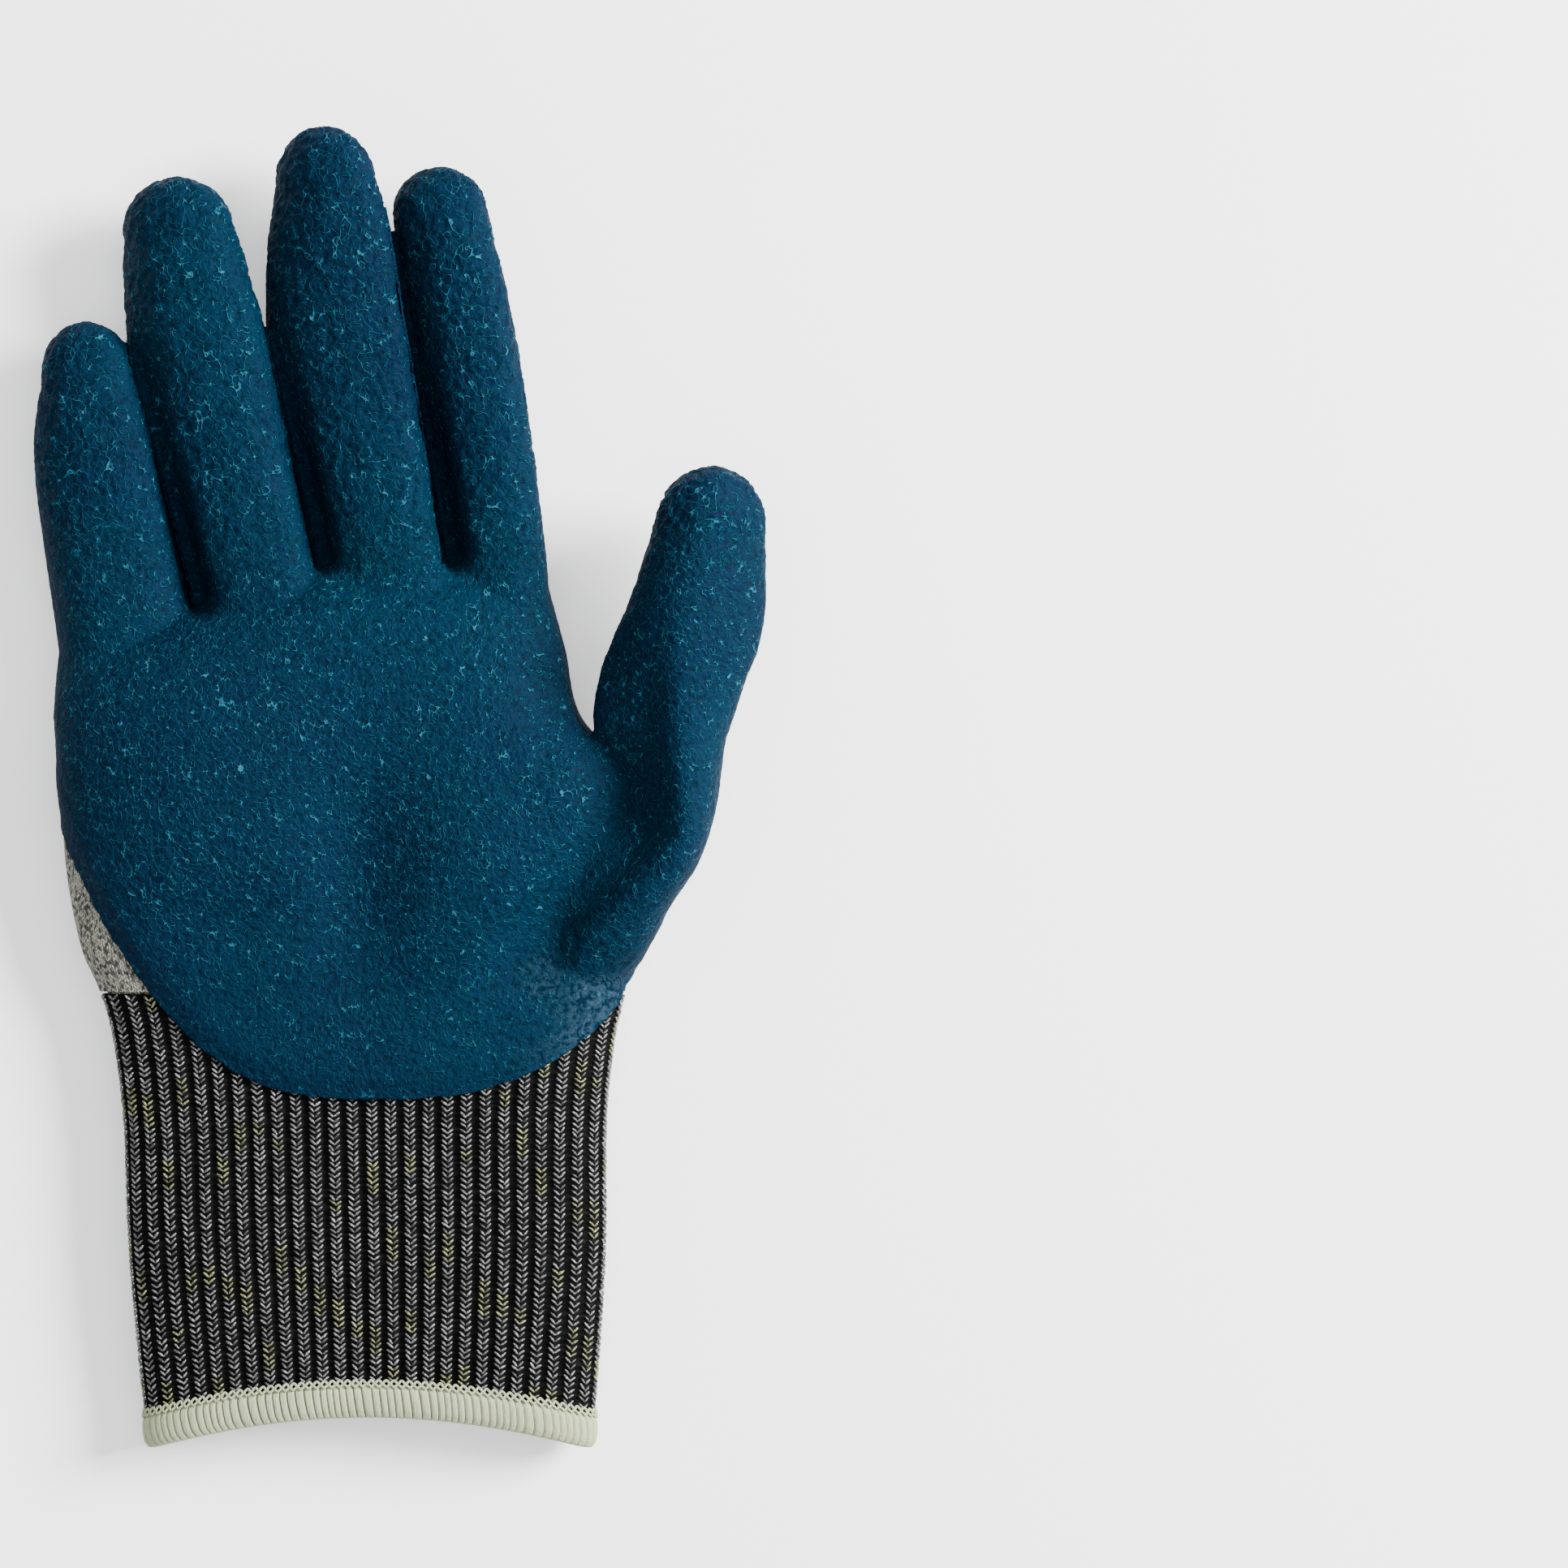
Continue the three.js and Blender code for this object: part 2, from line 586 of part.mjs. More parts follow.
// The block that holds the coated part of a digit: its palm side and its whole tip.
function digitCoatBlock(digit) {
  const half = digit.width * coatBlockHalf;
  const tipFrom = digit.length - tipCover;
  const rows = [
    { s: digit === thumb ? -coatBlockThumb * thumbBase : -coatBlockRoot, drop: coatEdgeDigit },
    { s: 0, drop: coatEdgeDigit },
    { s: digit.length * 0.35, drop: coatEdgeDigit },
    { s: tipFrom - tipTurn, drop: coatEdgeDigit },
    { s: tipFrom - tipTurn / 6, drop: coatEdgeDigit + 0.35 },
    { s: tipFrom + tipTurn / 2, drop: wholeDepth },
    { s: digit.length + tipTurn, drop: wholeDepth },
  ];
  const lean = THREE.MathUtils.degToRad(digit.lean);
  const along = new THREE.Vector3(Math.sin(lean), Math.cos(lean), 0);
  const across = new THREE.Vector3(Math.cos(lean), -Math.sin(lean), 0);
  const rings = rows.map(({ s, drop }) => {
    const inside = Math.min(s, digit.length);
    const { middle, halfDeep } = digitStation(digit, inside);
    const lowThumb = middle.z - halfDeep * drop;
    const lowLittle = lowThumb - halfDeep * coatEdgeLittle;
    const base = middle.clone().addScaledVector(along, s - inside);
    return [[1, lowThumb], [1, farReach], [-1, farReach], [-1, lowLittle]].map(([to, z]) => {
      const point = base.clone().addScaledVector(across, to * half);
      point.z = z;
      return keepParted(digit, point, 0);
    });
  });
  return solidOf(tubeThrough(rings));
}

// The dipped skin: one wall over the liner, kept where the latex reaches.
function latexSkin() {
  const starts = [...cuffRows, 0];
  const wall = filledHand(starts, 0).subtract(filledHand(starts, coatWall));
  const reach = joined([
    solidOf(coatArc()).intersect(solidOf(coatSide())),
    ...allDigits.map(digitCoatBlock),
  ]);
  return wall.intersect(reach);
}

const latex = new THREE.MeshStandardMaterial({ name: "latex", color: 0x00485f, roughness: 0.62 });
const knit = new THREE.MeshStandardMaterial({ name: "knit", color: 0x9b9a88, roughness: 0.95 });
const rib = new THREE.MeshStandardMaterial({ name: "rib", color: 0x3b3b3b, roughness: 0.95 });
const thread = new THREE.MeshStandardMaterial({ name: "thread", color: 0xb4b8a2, roughness: 0.9 });

const glove = new THREE.Group();
glove.add(pieceOf("palm_liner", palmLiner(), knit));
for (const digit of allDigits) glove.add(pieceOf(`${digit.name}_liner`, stallLiner(digit), knit));
glove.add(pieceOf("rib_cuff", ribbedCuff(), rib));
glove.add(pieceOf("cuff_hem", wrappedHem(), thread));
glove.add(pieceOf("latex_skin", latexSkin(), latex));

// The frame's origin is under the middle of the glove, on the surface it lies on.
const middle = new THREE.Box3().setFromObject(glove).getCenter(new THREE.Vector3());
glove.position.set(-middle.x, -middle.y, 0);

export default glove;
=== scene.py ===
import math
import random

import bpy
import numpy as np
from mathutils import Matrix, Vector, kdtree, noise


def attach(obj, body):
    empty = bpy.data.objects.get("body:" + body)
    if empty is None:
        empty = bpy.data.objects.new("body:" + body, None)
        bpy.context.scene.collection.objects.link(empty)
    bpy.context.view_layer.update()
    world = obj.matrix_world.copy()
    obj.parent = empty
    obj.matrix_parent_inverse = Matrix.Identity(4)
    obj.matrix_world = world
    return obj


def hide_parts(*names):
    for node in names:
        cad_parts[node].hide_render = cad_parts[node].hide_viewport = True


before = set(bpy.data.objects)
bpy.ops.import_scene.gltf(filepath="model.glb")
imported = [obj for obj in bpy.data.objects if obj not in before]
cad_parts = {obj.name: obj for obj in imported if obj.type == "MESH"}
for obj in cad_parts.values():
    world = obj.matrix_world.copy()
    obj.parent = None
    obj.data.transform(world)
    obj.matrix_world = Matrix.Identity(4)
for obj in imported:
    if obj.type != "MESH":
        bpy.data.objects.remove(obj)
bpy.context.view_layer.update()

# How far the part's own measures lie from the frame's origin.
FRAME_SHIFT = np.array([-6.916, -38.455, 0.0])
TO_METRES = 0.001

# Walls and layers.
COAT_WALL = 1.0
FIT_GAP = 0.3
SKIN = COAT_WALL + FIT_GAP
FLOOR_SETTLE = 1.5
COAT_EDGE_WALL = 0.5
COAT_EDGE_TUCK = 1.1

# The hand body.
PALM_LENGTH = 81.6
PALM_WIDTH = 97
PALM_DEPTH = 28
WRIST_WIDTH = 100
WRIST_DEPTH = 22
BODY_POWER = 2.7
WEB_SLANT = 0.32
WEB_SLANT_FROM = -7
PALM_END_ROUND = 12
PALM_END_SPREAD = 1.5

# The cuff and its hem.
CUFF_LENGTH = 80
CUFF_WIDTH = 87
CUFF_DEPTH = 20
CUFF_WALL = 1.3
RIB_COUNT = 56
RIB_DEPTH = 1.1
HEM_HEIGHT = 6
HEM_WALL = 0.9
HEM_LIP = 1.4
HEM_BOW = 7

# Where the coating ends. A share is of the palm's width, or of a digit's own size.
COAT_DROP = 20
COAT_RISE_LITTLE = 45
COAT_RISE_THUMB = 24.5
COAT_POWER_LITTLE = 2.55
COAT_POWER_THUMB = 3
COAT_HALF = 0.567 * PALM_WIDTH
COAT_EDGE_WRIST = 12
COAT_EDGE_PALM = 5
COAT_EDGE_DIGIT = 0.42
COAT_EDGE_LITTLE = 0.36
COAT_THUMB_SHARE = 0.6
COAT_FINGER_FROM = -4
COAT_REACH = 0.62
TIP_COVER = 15
TIP_DROP = 3
SLOT_COAT_HALF = 2.4
SLOT_COAT_FROM = -3
SLOT_COAT_TO = 52

# The digits.
DIGIT_POWER = 2.3
THUMB_POWER = 1.6
DIGIT_CAP_SHARE = 0.42
FINGER_SETTLE = 0.9
FINGER_CURL = 1.6
FINGER_SINK = 16
THUMB_BASE = 54
THUMB_HEIGHT = 15

# How the hand's one surface is made.
LATEX_VOXEL = 0.66
LINER_VOXEL = 0.9
SLOT_WIDTH = 0.3
SLOT_LENGTH = 90
SLOT_HEIGHTS = (-10, 60)
CHANNEL_DEPTH = 0.55
CREST_SLOPE = 0.12
ROUNDS_VOXEL = 0.6


def table(names, *rows):
    """A list of rows with named columns."""
    return [dict(zip(names.split(), row)) for row in rows]


DIGITS = table(
    "name across along lean length width mid tip depth bow rise skew",
    ("index", 0.256, 1, -9, 75, 18.8, 0.99, 0.9, 19, 0.9, 7, 0.3),
    ("middle", 0.034, 1, -7.5, 82.5, 25, 1.1, 0.7, 20.5, -1.5, 8.5, 0.4),
    ("ring", -0.22, 0.958, -10.9, 77, 25.4, 1.01, 0.8, 20, -1.4, 8, 0.35),
    ("little", -0.483, 0.92, -6.4, 52, 25.4, 0.95, 0.7, 18.5, -0.7, 6, 0.15),
    ("thumb", 0.59, 0.641, 12.6, 47.8, 26, 1, 1, 22, 0, 6, 0),
)

PARTINGS = table(
    "thumb_side little_side across lean",
    ("index", "middle", 0.157, -9.2),
    ("middle", "ring", -0.097, -11.7),
    ("ring", "little", -0.359, -13.5),
)

BODY_FORM = table(
    "at little thumb deep",
    (-1, -0.487, 0.514, 0.95),
    (-0.6, -0.498, 0.513, 1),
    (-0.3, -0.489, 0.495, 1),
    (-0.1, -0.497, 0.499, 1),
    (0, -0.514, 0.511, 1),
    (0.1, -0.55, 0.512, 1.03),
    (0.3, -0.583, 0.555, 1.06),
    (0.45, -0.589, 0.58, 1.06),
    (0.5, -0.59, 0.573, 1.06),
    (0.62, -0.592, 0.432, 1.03),
    (0.8, -0.601, 0.392, 0.92),
    (1, -0.598, 0.35, 0.76),
)

HEM_FORM = table(
    "at full",
    (0, 0.5),
    (0.22, 1),
    (0.78, 1),
    (1, 0.5),
)

FINGER_FORM = table(
    "at mid tip deep",
    (0, 0, 0, 1),
    (0.3, 0.45, 0, 0.97),
    (0.62, 1, 0, 0.95),
    (0.85, 0.55, 0.45, 0.87),
    (1, 0, 1, 0.76),
)

THUMB_FORM = table(
    "at side wide deep lift skew",
    (-1, -0.27, 0.95, 0.5, -0.9, 0),
    (-0.8, -0.25, 1.02, 0.74, -0.42, 0.25),
    (-0.6, -0.085, 0.9, 0.9, 0, 0.43),
    (-0.42, 0.13, 0.68, 1, 0.3, 0.45),
    (-0.2, 0.13, 0.77, 1, 0.35, 0.3),
    (0, 0, 1.03, 1, 0.4, 0.22),
    (0.55, 0.07, 0.98, 0.92, 0.75, -0.2),
    (1, 0.03, 0.79, 0.8, 0.95, -0.2),
)

THUMB_CREST = table(
    "y x",
    (-2.1, 38.6),
    (8.6, 42.3),
    (15.7, 47.3),
    (22.9, 54.4),
    (30, 60.8),
)

PALM_RELIEF = table(
    "across along reach_across reach_along lift",
    (0, 0.25, 0.1, 0.24, -3.6),
    (-0.26, 0.157, 0.14, 0.1, -2),
    (0.06, 0.6, 0.26, 0.22, -1.6),
    (-0.36, 0.34, 0.16, 0.3, 1.2),
    (0.23, 0.34, 0.12, 0.25, 1.6),
    (0.37, 0.7, 0.06, 0.07, -1.6),
)


def smoothstep(value, low, high):
    """0 below low, 1 above high, smooth between."""
    t = np.clip((value - low) / (high - low), 0, 1)
    return t * t * (3 - 2 * t)


def read_form(rows, column, at):
    """One column of a table of sections, read on a smooth curve through its rows."""
    last = len(rows) - 1
    i = 0
    while i < last - 1 and at > rows[i + 1]["at"]:
        i += 1
    before, start, end, after = (rows[k] for k in (max(i - 1, 0), i, i + 1, min(i + 2, last)))
    span = end["at"] - start["at"]
    t = min(max((at - start["at"]) / span, 0), 1)
    slope_start = (end[column] - before[column]) / (end["at"] - before["at"]) * span
    slope_end = (after[column] - start[column]) / (after["at"] - start["at"]) * span
    return (
        start[column] * (2 * t**3 - 3 * t**2 + 1)
        + slope_start * (t**3 - 2 * t**2 + t)
        + end[column] * (3 * t**2 - 2 * t**3)
        + slope_end * (t**3 - t**2)
    )


def oval(half_wide, half_deep, power, angles):
    """Points of an oval with flattened sides, at angles from its thumb side over the top."""
    cos, sin = np.cos(angles), np.sin(angles)
    return (
        half_wide * np.sign(cos) * np.abs(cos) ** (2 / power),
        half_deep * np.sign(sin) * np.abs(sin) ** (2 / power),
    )


def angles_at(half_wide, half_deep, power, shares):
    """The angles that cut an oval into lengths given as shares of its way round."""
    turns = np.linspace(0, 2 * math.pi, 721)
    x, z = oval(half_wide, half_deep, power, turns)
    lengths = np.concatenate([[0], np.cumsum(np.hypot(np.diff(x), np.diff(z)))])
    return np.interp(np.asarray(shares) % 1 * lengths[-1], lengths, turns)


def floor_at(inset):
    """Cloth lies flat on the table, and an inner layer lies higher by what is outside it."""
    return np.maximum(inset - SKIN, 0)


def between(at, hem, seam, webs):
    """A size of the body at a place between the hem (-1), the seam (0) and the finger webs (1)."""
    return seam + (seam - hem) * at if at < 0 else seam + (webs - seam) * at


def web_slant(x):
    """How much lower the finger webs lie at a place across the hand."""
    return WEB_SLANT * np.minimum(0, x - WEB_SLANT_FROM)


def body_ring(at, inset, shares, squash=1.0):
    """One ring of the hand body."""
    shares = np.asarray(shares, float)
    width = between(at, CUFF_WIDTH, WRIST_WIDTH, PALM_WIDTH)
    depth = between(at, CUFF_DEPTH, WRIST_DEPTH, PALM_DEPTH) * read_form(BODY_FORM, "deep", at)
    little = width * read_form(BODY_FORM, "little", at)
    to_thumb = width * read_form(BODY_FORM, "thumb", at)
    half_wide = (to_thumb - little) / 2
    middle_z = depth / 2 - SKIN - FLOOR_SETTLE
    angles = angles_at(half_wide, depth / 2, BODY_POWER, shares)
    deep = depth / 2 * squash - inset * math.sqrt(squash)
    dx, dz = oval(half_wide - inset, deep, BODY_POWER, angles)
    x = (little + to_thumb) / 2 + dx
    bow = HEM_BOW * (dx / half_wide) ** 2 * smoothstep(-at, 0.35, 1)
    y = at * (CUFF_LENGTH if at < 0 else PALM_LENGTH) - bow + web_slant(x) * smoothstep(at, 0.4, 1)
    relief = sum(
        spot["lift"]
        * np.exp(
            -(((x / PALM_WIDTH - spot["across"]) / spot["reach_across"]) ** 2)
            - ((y / PALM_LENGTH - spot["along"]) / spot["reach_along"]) ** 2
        )
        for spot in PALM_RELIEF
    )
    relief = relief * smoothstep(dz / (depth / 2), 0, 0.8) * smoothstep(at, -0.2, 0.1)
    return np.stack([x, y, np.maximum(middle_z + dz + relief, floor_at(inset))], 1)


def ways(lean):
    """The way along a line that leans some degrees to the thumb, and the way across it."""
    turn = math.radians(lean)
    return np.array([math.sin(turn), math.cos(turn), 0]), np.array([math.cos(turn), -math.sin(turn), 0])


def root_of(digit):
    """The place on the floor under a digit's root."""
    return np.array([digit["across"] * PALM_WIDTH, digit["along"] * PALM_LENGTH, 0.0])


def start_of(digit):
    """Where a digit's rings begin inside the palm, in millimetres along it."""
    return -THUMB_BASE if digit["name"] == "thumb" else -FINGER_SINK


def digit_station(digit, s):
    """Middle, half width, half depth and skew of a digit, s millimetres along it from its root."""
    cap = DIGIT_CAP_SHARE * digit["width"]
    share = s / THUMB_BASE if s < 0 else min(s / (digit["length"] - cap), 1)
    ahead, across = ways(digit["lean"])
    if digit["name"] == "thumb":
        side = read_form(THUMB_FORM, "side", share) * digit["width"]
        lift = read_form(THUMB_FORM, "lift", share)
        rest = THUMB_HEIGHT
        wide = read_form(THUMB_FORM, "wide", share)
        deep = read_form(THUMB_FORM, "deep", share)
        skew = read_form(THUMB_FORM, "skew", share)
    else:
        side = digit["bow"] * math.sin(math.pi * s / digit["length"])
        lift = max(s / digit["length"], 0) ** FINGER_CURL
        rest = digit["depth"] / 2 - SKIN - FINGER_SETTLE
        mid_part = (digit["mid"] - 1) * read_form(FINGER_FORM, "mid", share)
        wide = 1 + mid_part + (digit["tip"] - 1) * read_form(FINGER_FORM, "tip", share)
        deep = read_form(FINGER_FORM, "deep", share)
        skew = digit["skew"] * smoothstep(s, -FINGER_SINK, 0)
    root = root_of(digit)
    root[2] = rest + digit["rise"] * lift
    return root + ahead * s + across * side, digit["width"] / 2 * wide, digit["depth"] / 2 * deep, skew


def parting_line(parting):
    """The foot of the line between two fingers, the way along it and the way across to the thumb."""
    foot = np.array([parting["across"] * PALM_WIDTH, PALM_LENGTH, 0])
    return foot, *ways(parting["lean"])


def keep_parted(digit, points, inset, gap):
    """Keeps a finger's points on their own side of the lines to its neighbours."""
    for parting in PARTINGS:
        side = (parting["thumb_side"] == digit["name"]) - (parting["little_side"] == digit["name"])
        if side:
            foot, _, to_thumb = parting_line(parting)
            clear = side * ((points - foot) @ to_thumb)
            short = np.maximum(gap / 2 + inset - clear, 0)
            points = points + np.outer(side * short, to_thumb)
    return points


def digit_ring(digit, s, inset, shares, gap, shrink=1.0):
    """One ring of a digit square to its middle line. Shrink closes the tip."""
    middle, half_wide, half_deep, skew = digit_station(digit, s)
    ahead = digit_station(digit, s + 0.5)[0] - digit_station(digit, s - 0.5)[0]
    ahead /= np.linalg.norm(ahead)
    across = np.cross(ahead, [0, 0, 1])
    across /= np.linalg.norm(across)
    up = np.cross(across, ahead)
    power = THUMB_POWER if digit["name"] == "thumb" else DIGIT_POWER
    sizes = ((half_wide - inset) * shrink, (half_deep - inset) * shrink)
    dx, dz = oval(*sizes, power, 2 * math.pi * np.asarray(shares))
    points = middle + np.outer(dx + skew * dz, across) + np.outer(dz, up)
    points[:, 2] = np.maximum(points[:, 2], floor_at(inset))
    return keep_parted(digit, points, inset, gap)


def digit_rings(digit, start, inset, sides, gap, step):
    """The rings of a digit from a start to its closed tip."""
    shares = np.arange(sides) / sides
    cap = DIGIT_CAP_SHARE * digit["width"]
    cap_from = digit["length"] - cap
    count = int((cap_from - start) / step) + 1
    rings = [digit_ring(digit, s, inset, shares, gap) for s in np.linspace(start, cap_from, count)]
    for degrees in range(8, 89, 8):
        turn = math.radians(degrees)
        s = cap_from + (cap - inset) * math.sin(turn)
        rings.append(digit_ring(digit, s, inset, shares, gap, math.cos(turn)))
    return np.array(rings)


def body_rings(start, inset, sides, step):
    """The rings of the body from a start to the palm's rounded end."""
    shares = np.arange(sides) / sides
    round_from = 1 - PALM_END_ROUND / PALM_LENGTH
    round_to = 1 - inset * PALM_END_SPREAD / PALM_LENGTH
    count = int((round_from - start) * PALM_LENGTH / step) + 1
    rings = [body_ring(at, inset, shares) for at in np.linspace(start, round_from, count)]
    for degrees in range(10, 81, 10):
        turn = math.radians(degrees)
        at = round_from + (round_to - round_from) * math.sin(turn)
        rings.append(body_ring(at, inset, shares, math.cos(turn)))
    return np.array(rings)


def tube(rings, closed=True):
    """Points and triangles of a tube through rings, with a fan at each end if it is closed."""
    rows, sides = rings.shape[:2]
    here = np.arange(sides)
    after = (here + 1) % sides
    base = np.arange(rows - 1)[:, None] * sides
    corners = [base + here, base + sides + here, base + sides + after, base + after]
    quads = np.stack(corners, -1).reshape(-1, 4)
    faces = [quads[:, [0, 1, 2]], quads[:, [0, 2, 3]]]
    points = rings.reshape(-1, 3)
    if closed:
        end = (rows - 1) * sides
        first = np.full(sides, rows * sides)
        faces.append(np.stack([first, here, after], 1))
        faces.append(np.stack([first + 1, end + after, end + here], 1))
        points = np.vstack([points, rings[0].mean(0), rings[-1].mean(0)])
    return points, np.vstack(faces)


def joined(shapes):
    """Several shapes of points and triangles as one."""
    points, faces, count = [], [], 0
    for shape_points, shape_faces in shapes:
        points.append(shape_points)
        faces.append(shape_faces + count)
        count += len(shape_points)
    return np.vstack(points), np.vstack(faces)


def mesh_of(name, points, faces):
    """A Blender mesh from arrays of points and triangles, as they are."""
    mesh = bpy.data.meshes.new(name)
    mesh.vertices.add(len(points))
    mesh.vertices.foreach_set("co", np.asarray(points, np.float32).ravel())
    mesh.loops.add(faces.size)
    mesh.loops.foreach_set("vertex_index", np.asarray(faces, np.int32).ravel())
    mesh.polygons.add(len(faces))
    mesh.polygons.foreach_set("loop_start", np.arange(0, faces.size, 3, dtype=np.int32))
    mesh.update(calc_edges=True)
    return mesh


def arrays_of(mesh):
    """Points and triangles of a Blender mesh."""
    mesh.calc_loop_triangles()
    points = np.empty(len(mesh.vertices) * 3, np.float32)
    mesh.vertices.foreach_get("co", points)
    faces = np.empty(len(mesh.loop_triangles) * 3, np.int32)
    mesh.loop_triangles.foreach_get("vertices", faces)
    return points.reshape(-1, 3).astype(float), faces.reshape(-1, 3)


def with_modifier(points, faces, kind, **settings):
    """A shape after one Blender modifier."""
    obj = bpy.data.objects.new("working", mesh_of("working", points, faces))
    bpy.context.scene.collection.objects.link(obj)
    modifier = obj.modifiers.new("working", kind)
    for key, value in settings.items():
        setattr(modifier, key, value)
    done = obj.evaluated_get(bpy.context.evaluated_depsgraph_get())
    result = arrays_of(done.to_mesh())
    done.to_mesh_clear()
    bpy.data.objects.remove(obj)
    return result


def edges_of(faces):
    """Each edge of the triangles once, and how many triangles use it."""
    pairs = np.sort(np.vstack([faces[:, [0, 1]], faces[:, [1, 2]], faces[:, [2, 0]]]), 1)
    return np.unique(pairs, axis=0, return_counts=True)


def neighbour_mean(values, edges, count):
    """The mean of each point's neighbours."""
    total = np.zeros((count, values.shape[1]))
    for column in range(values.shape[1]):
        total[:, column] = np.bincount(edges[:, 0], values[edges[:, 1], column], count)
        total[:, column] += np.bincount(edges[:, 1], values[edges[:, 0], column], count)
    number = np.bincount(edges.ravel(), minlength=count)
    return total / np.maximum(number, 1)[:, None]


def smoothed(points, faces, rounds, weight):
    """Points pulled to the mean of their neighbours, each by its own weight."""
    edges, _ = edges_of(faces)
    for _ in range(rounds):
        points = points + (neighbour_mean(points, edges, len(points)) - points) * weight
    return points


def normals_of(points, faces):
    """The outward direction at each point."""
    a, b, c = (points[faces[:, k]] for k in range(3))
    face_normals = np.cross(b - a, c - a)
    total = np.zeros_like(points)
    for column in range(3):
        for corner in range(3):
            total[:, column] += np.bincount(faces[:, corner], face_normals[:, column], len(points))
    return total / np.maximum(np.linalg.norm(total, axis=1), 1e-12)[:, None]


def cut_at_zero(points, faces, level, extras=()):
    """Keeps the part of a surface where level is above zero, with a clean edge along zero."""
    keep = level > 0
    edges, _ = edges_of(faces)
    crossing = edges[keep[edges[:, 0]] != keep[edges[:, 1]]]
    share = level[crossing[:, 0]] / (level[crossing[:, 0]] - level[crossing[:, 1]])
    share = np.clip(share, 0.04, 0.96)[:, None]
    keys = {(a, b): len(points) + k for k, (a, b) in enumerate(crossing.tolist())}

    def mixed(values):
        values = values if values.ndim == 2 else values[:, None]
        made = values[crossing[:, 0]] * (1 - share) + values[crossing[:, 1]] * share
        return np.vstack([values, made])

    points = mixed(points)
    extras = [mixed(extra) for extra in extras]
    inside = keep[faces].sum(1)
    made = [faces[inside == 3]]
    cut = []
    crossed = (inside == 1) | (inside == 2)
    for face, number in zip(faces[crossed].tolist(), inside[crossed]):
        lone = [k for k in range(3) if keep[face[k]] == (number == 1)][0]
        a, b, c = face[lone], face[(lone + 1) % 3], face[(lone + 2) % 3]
        ab, ac = keys[(min(a, b), max(a, b))], keys[(min(a, c), max(a, c))]
        cut += [(a, ab, ac)] if number == 1 else [(ab, b, c), (ab, c, ac)]
    faces = np.vstack([*made, np.array(cut, int).reshape(-1, 3)])
    used, faces = np.unique(faces, return_inverse=True)
    return points[used], faces.reshape(-1, 3), [extra[used] for extra in extras]


def noise_at(points, size, seed):
    """Smooth noise from -1 to 1 at each point, with lumps of about the size given."""
    offset = Vector((seed * 13.7, seed * 7.1, seed * 3.3))
    return np.array([noise.noise(Vector(p) / size + offset) for p in points])


def coat_level(points):
    """About how many millimetres inside the coating's edge each point lies."""
    x, y, z = points.T
    u = x / COAT_HALF
    rise = np.where(u < 0, COAT_RISE_LITTLE, COAT_RISE_THUMB)
    power = np.where(u < 0, COAT_POWER_LITTLE, COAT_POWER_THUMB)
    slope = rise * power * np.abs(u) ** (power - 1) / COAT_HALF
    arc = (y + COAT_DROP - rise * np.abs(u) ** power) / np.sqrt(1 + slope**2)
    edge = COAT_EDGE_WRIST + (COAT_EDGE_PALM - COAT_EDGE_WRIST) * smoothstep(y / PALM_LENGTH, 0, 0.5)
    level = np.minimum(arc, z - edge)
    for digit in DIGITS:
        ahead, across = ways(digit["lean"])
        root = root_of(digit)
        s = (points - root) @ ahead
        start = -COAT_THUMB_SHARE * THUMB_BASE if digit["name"] == "thumb" else COAT_FINGER_FROM
        places = np.linspace(start, digit["length"], 40)
        stations = [digit_station(digit, place) for place in places]
        middle_z = np.interp(s, places, [station[0][2] for station in stations])
        half_deep = np.interp(s, places, [station[2] for station in stations])
        side = np.interp(s, places, [(station[0] - root) @ across for station in stations])
        tip_from = digit["length"] - TIP_COVER
        drop = COAT_EDGE_DIGIT + TIP_DROP * smoothstep(s, tip_from - 4, tip_from + 3)
        beside = (points - root) @ across - side
        to_thumb = np.clip(beside / digit["width"], -COAT_REACH, COAT_REACH) / (2 * COAT_REACH)
        drop = drop + COAT_EDGE_LITTLE * (0.5 - to_thumb)
        inside = np.minimum(z - (middle_z - half_deep * drop), s - start)
        reach = COAT_REACH * digit["width"] - np.abs(beside)
        level = np.maximum(level, np.minimum(inside, reach))
    for parting in PARTINGS:
        foot, along, to_thumb = parting_line(parting)
        up = (points - foot) @ along - web_slant(foot[0])
        off = np.abs((points - foot) @ to_thumb)
        run = np.minimum(up - SLOT_COAT_FROM, SLOT_COAT_TO - up)
        level = np.maximum(level, np.minimum(SLOT_COAT_HALF - off, run))
    return level


def rounds_for(count, voxel):
    """The smoothing rounds that reach as far on this voxel size as count rounds do on 0.6 mm."""
    return int(count * (ROUNDS_VOXEL / voxel) ** 2)


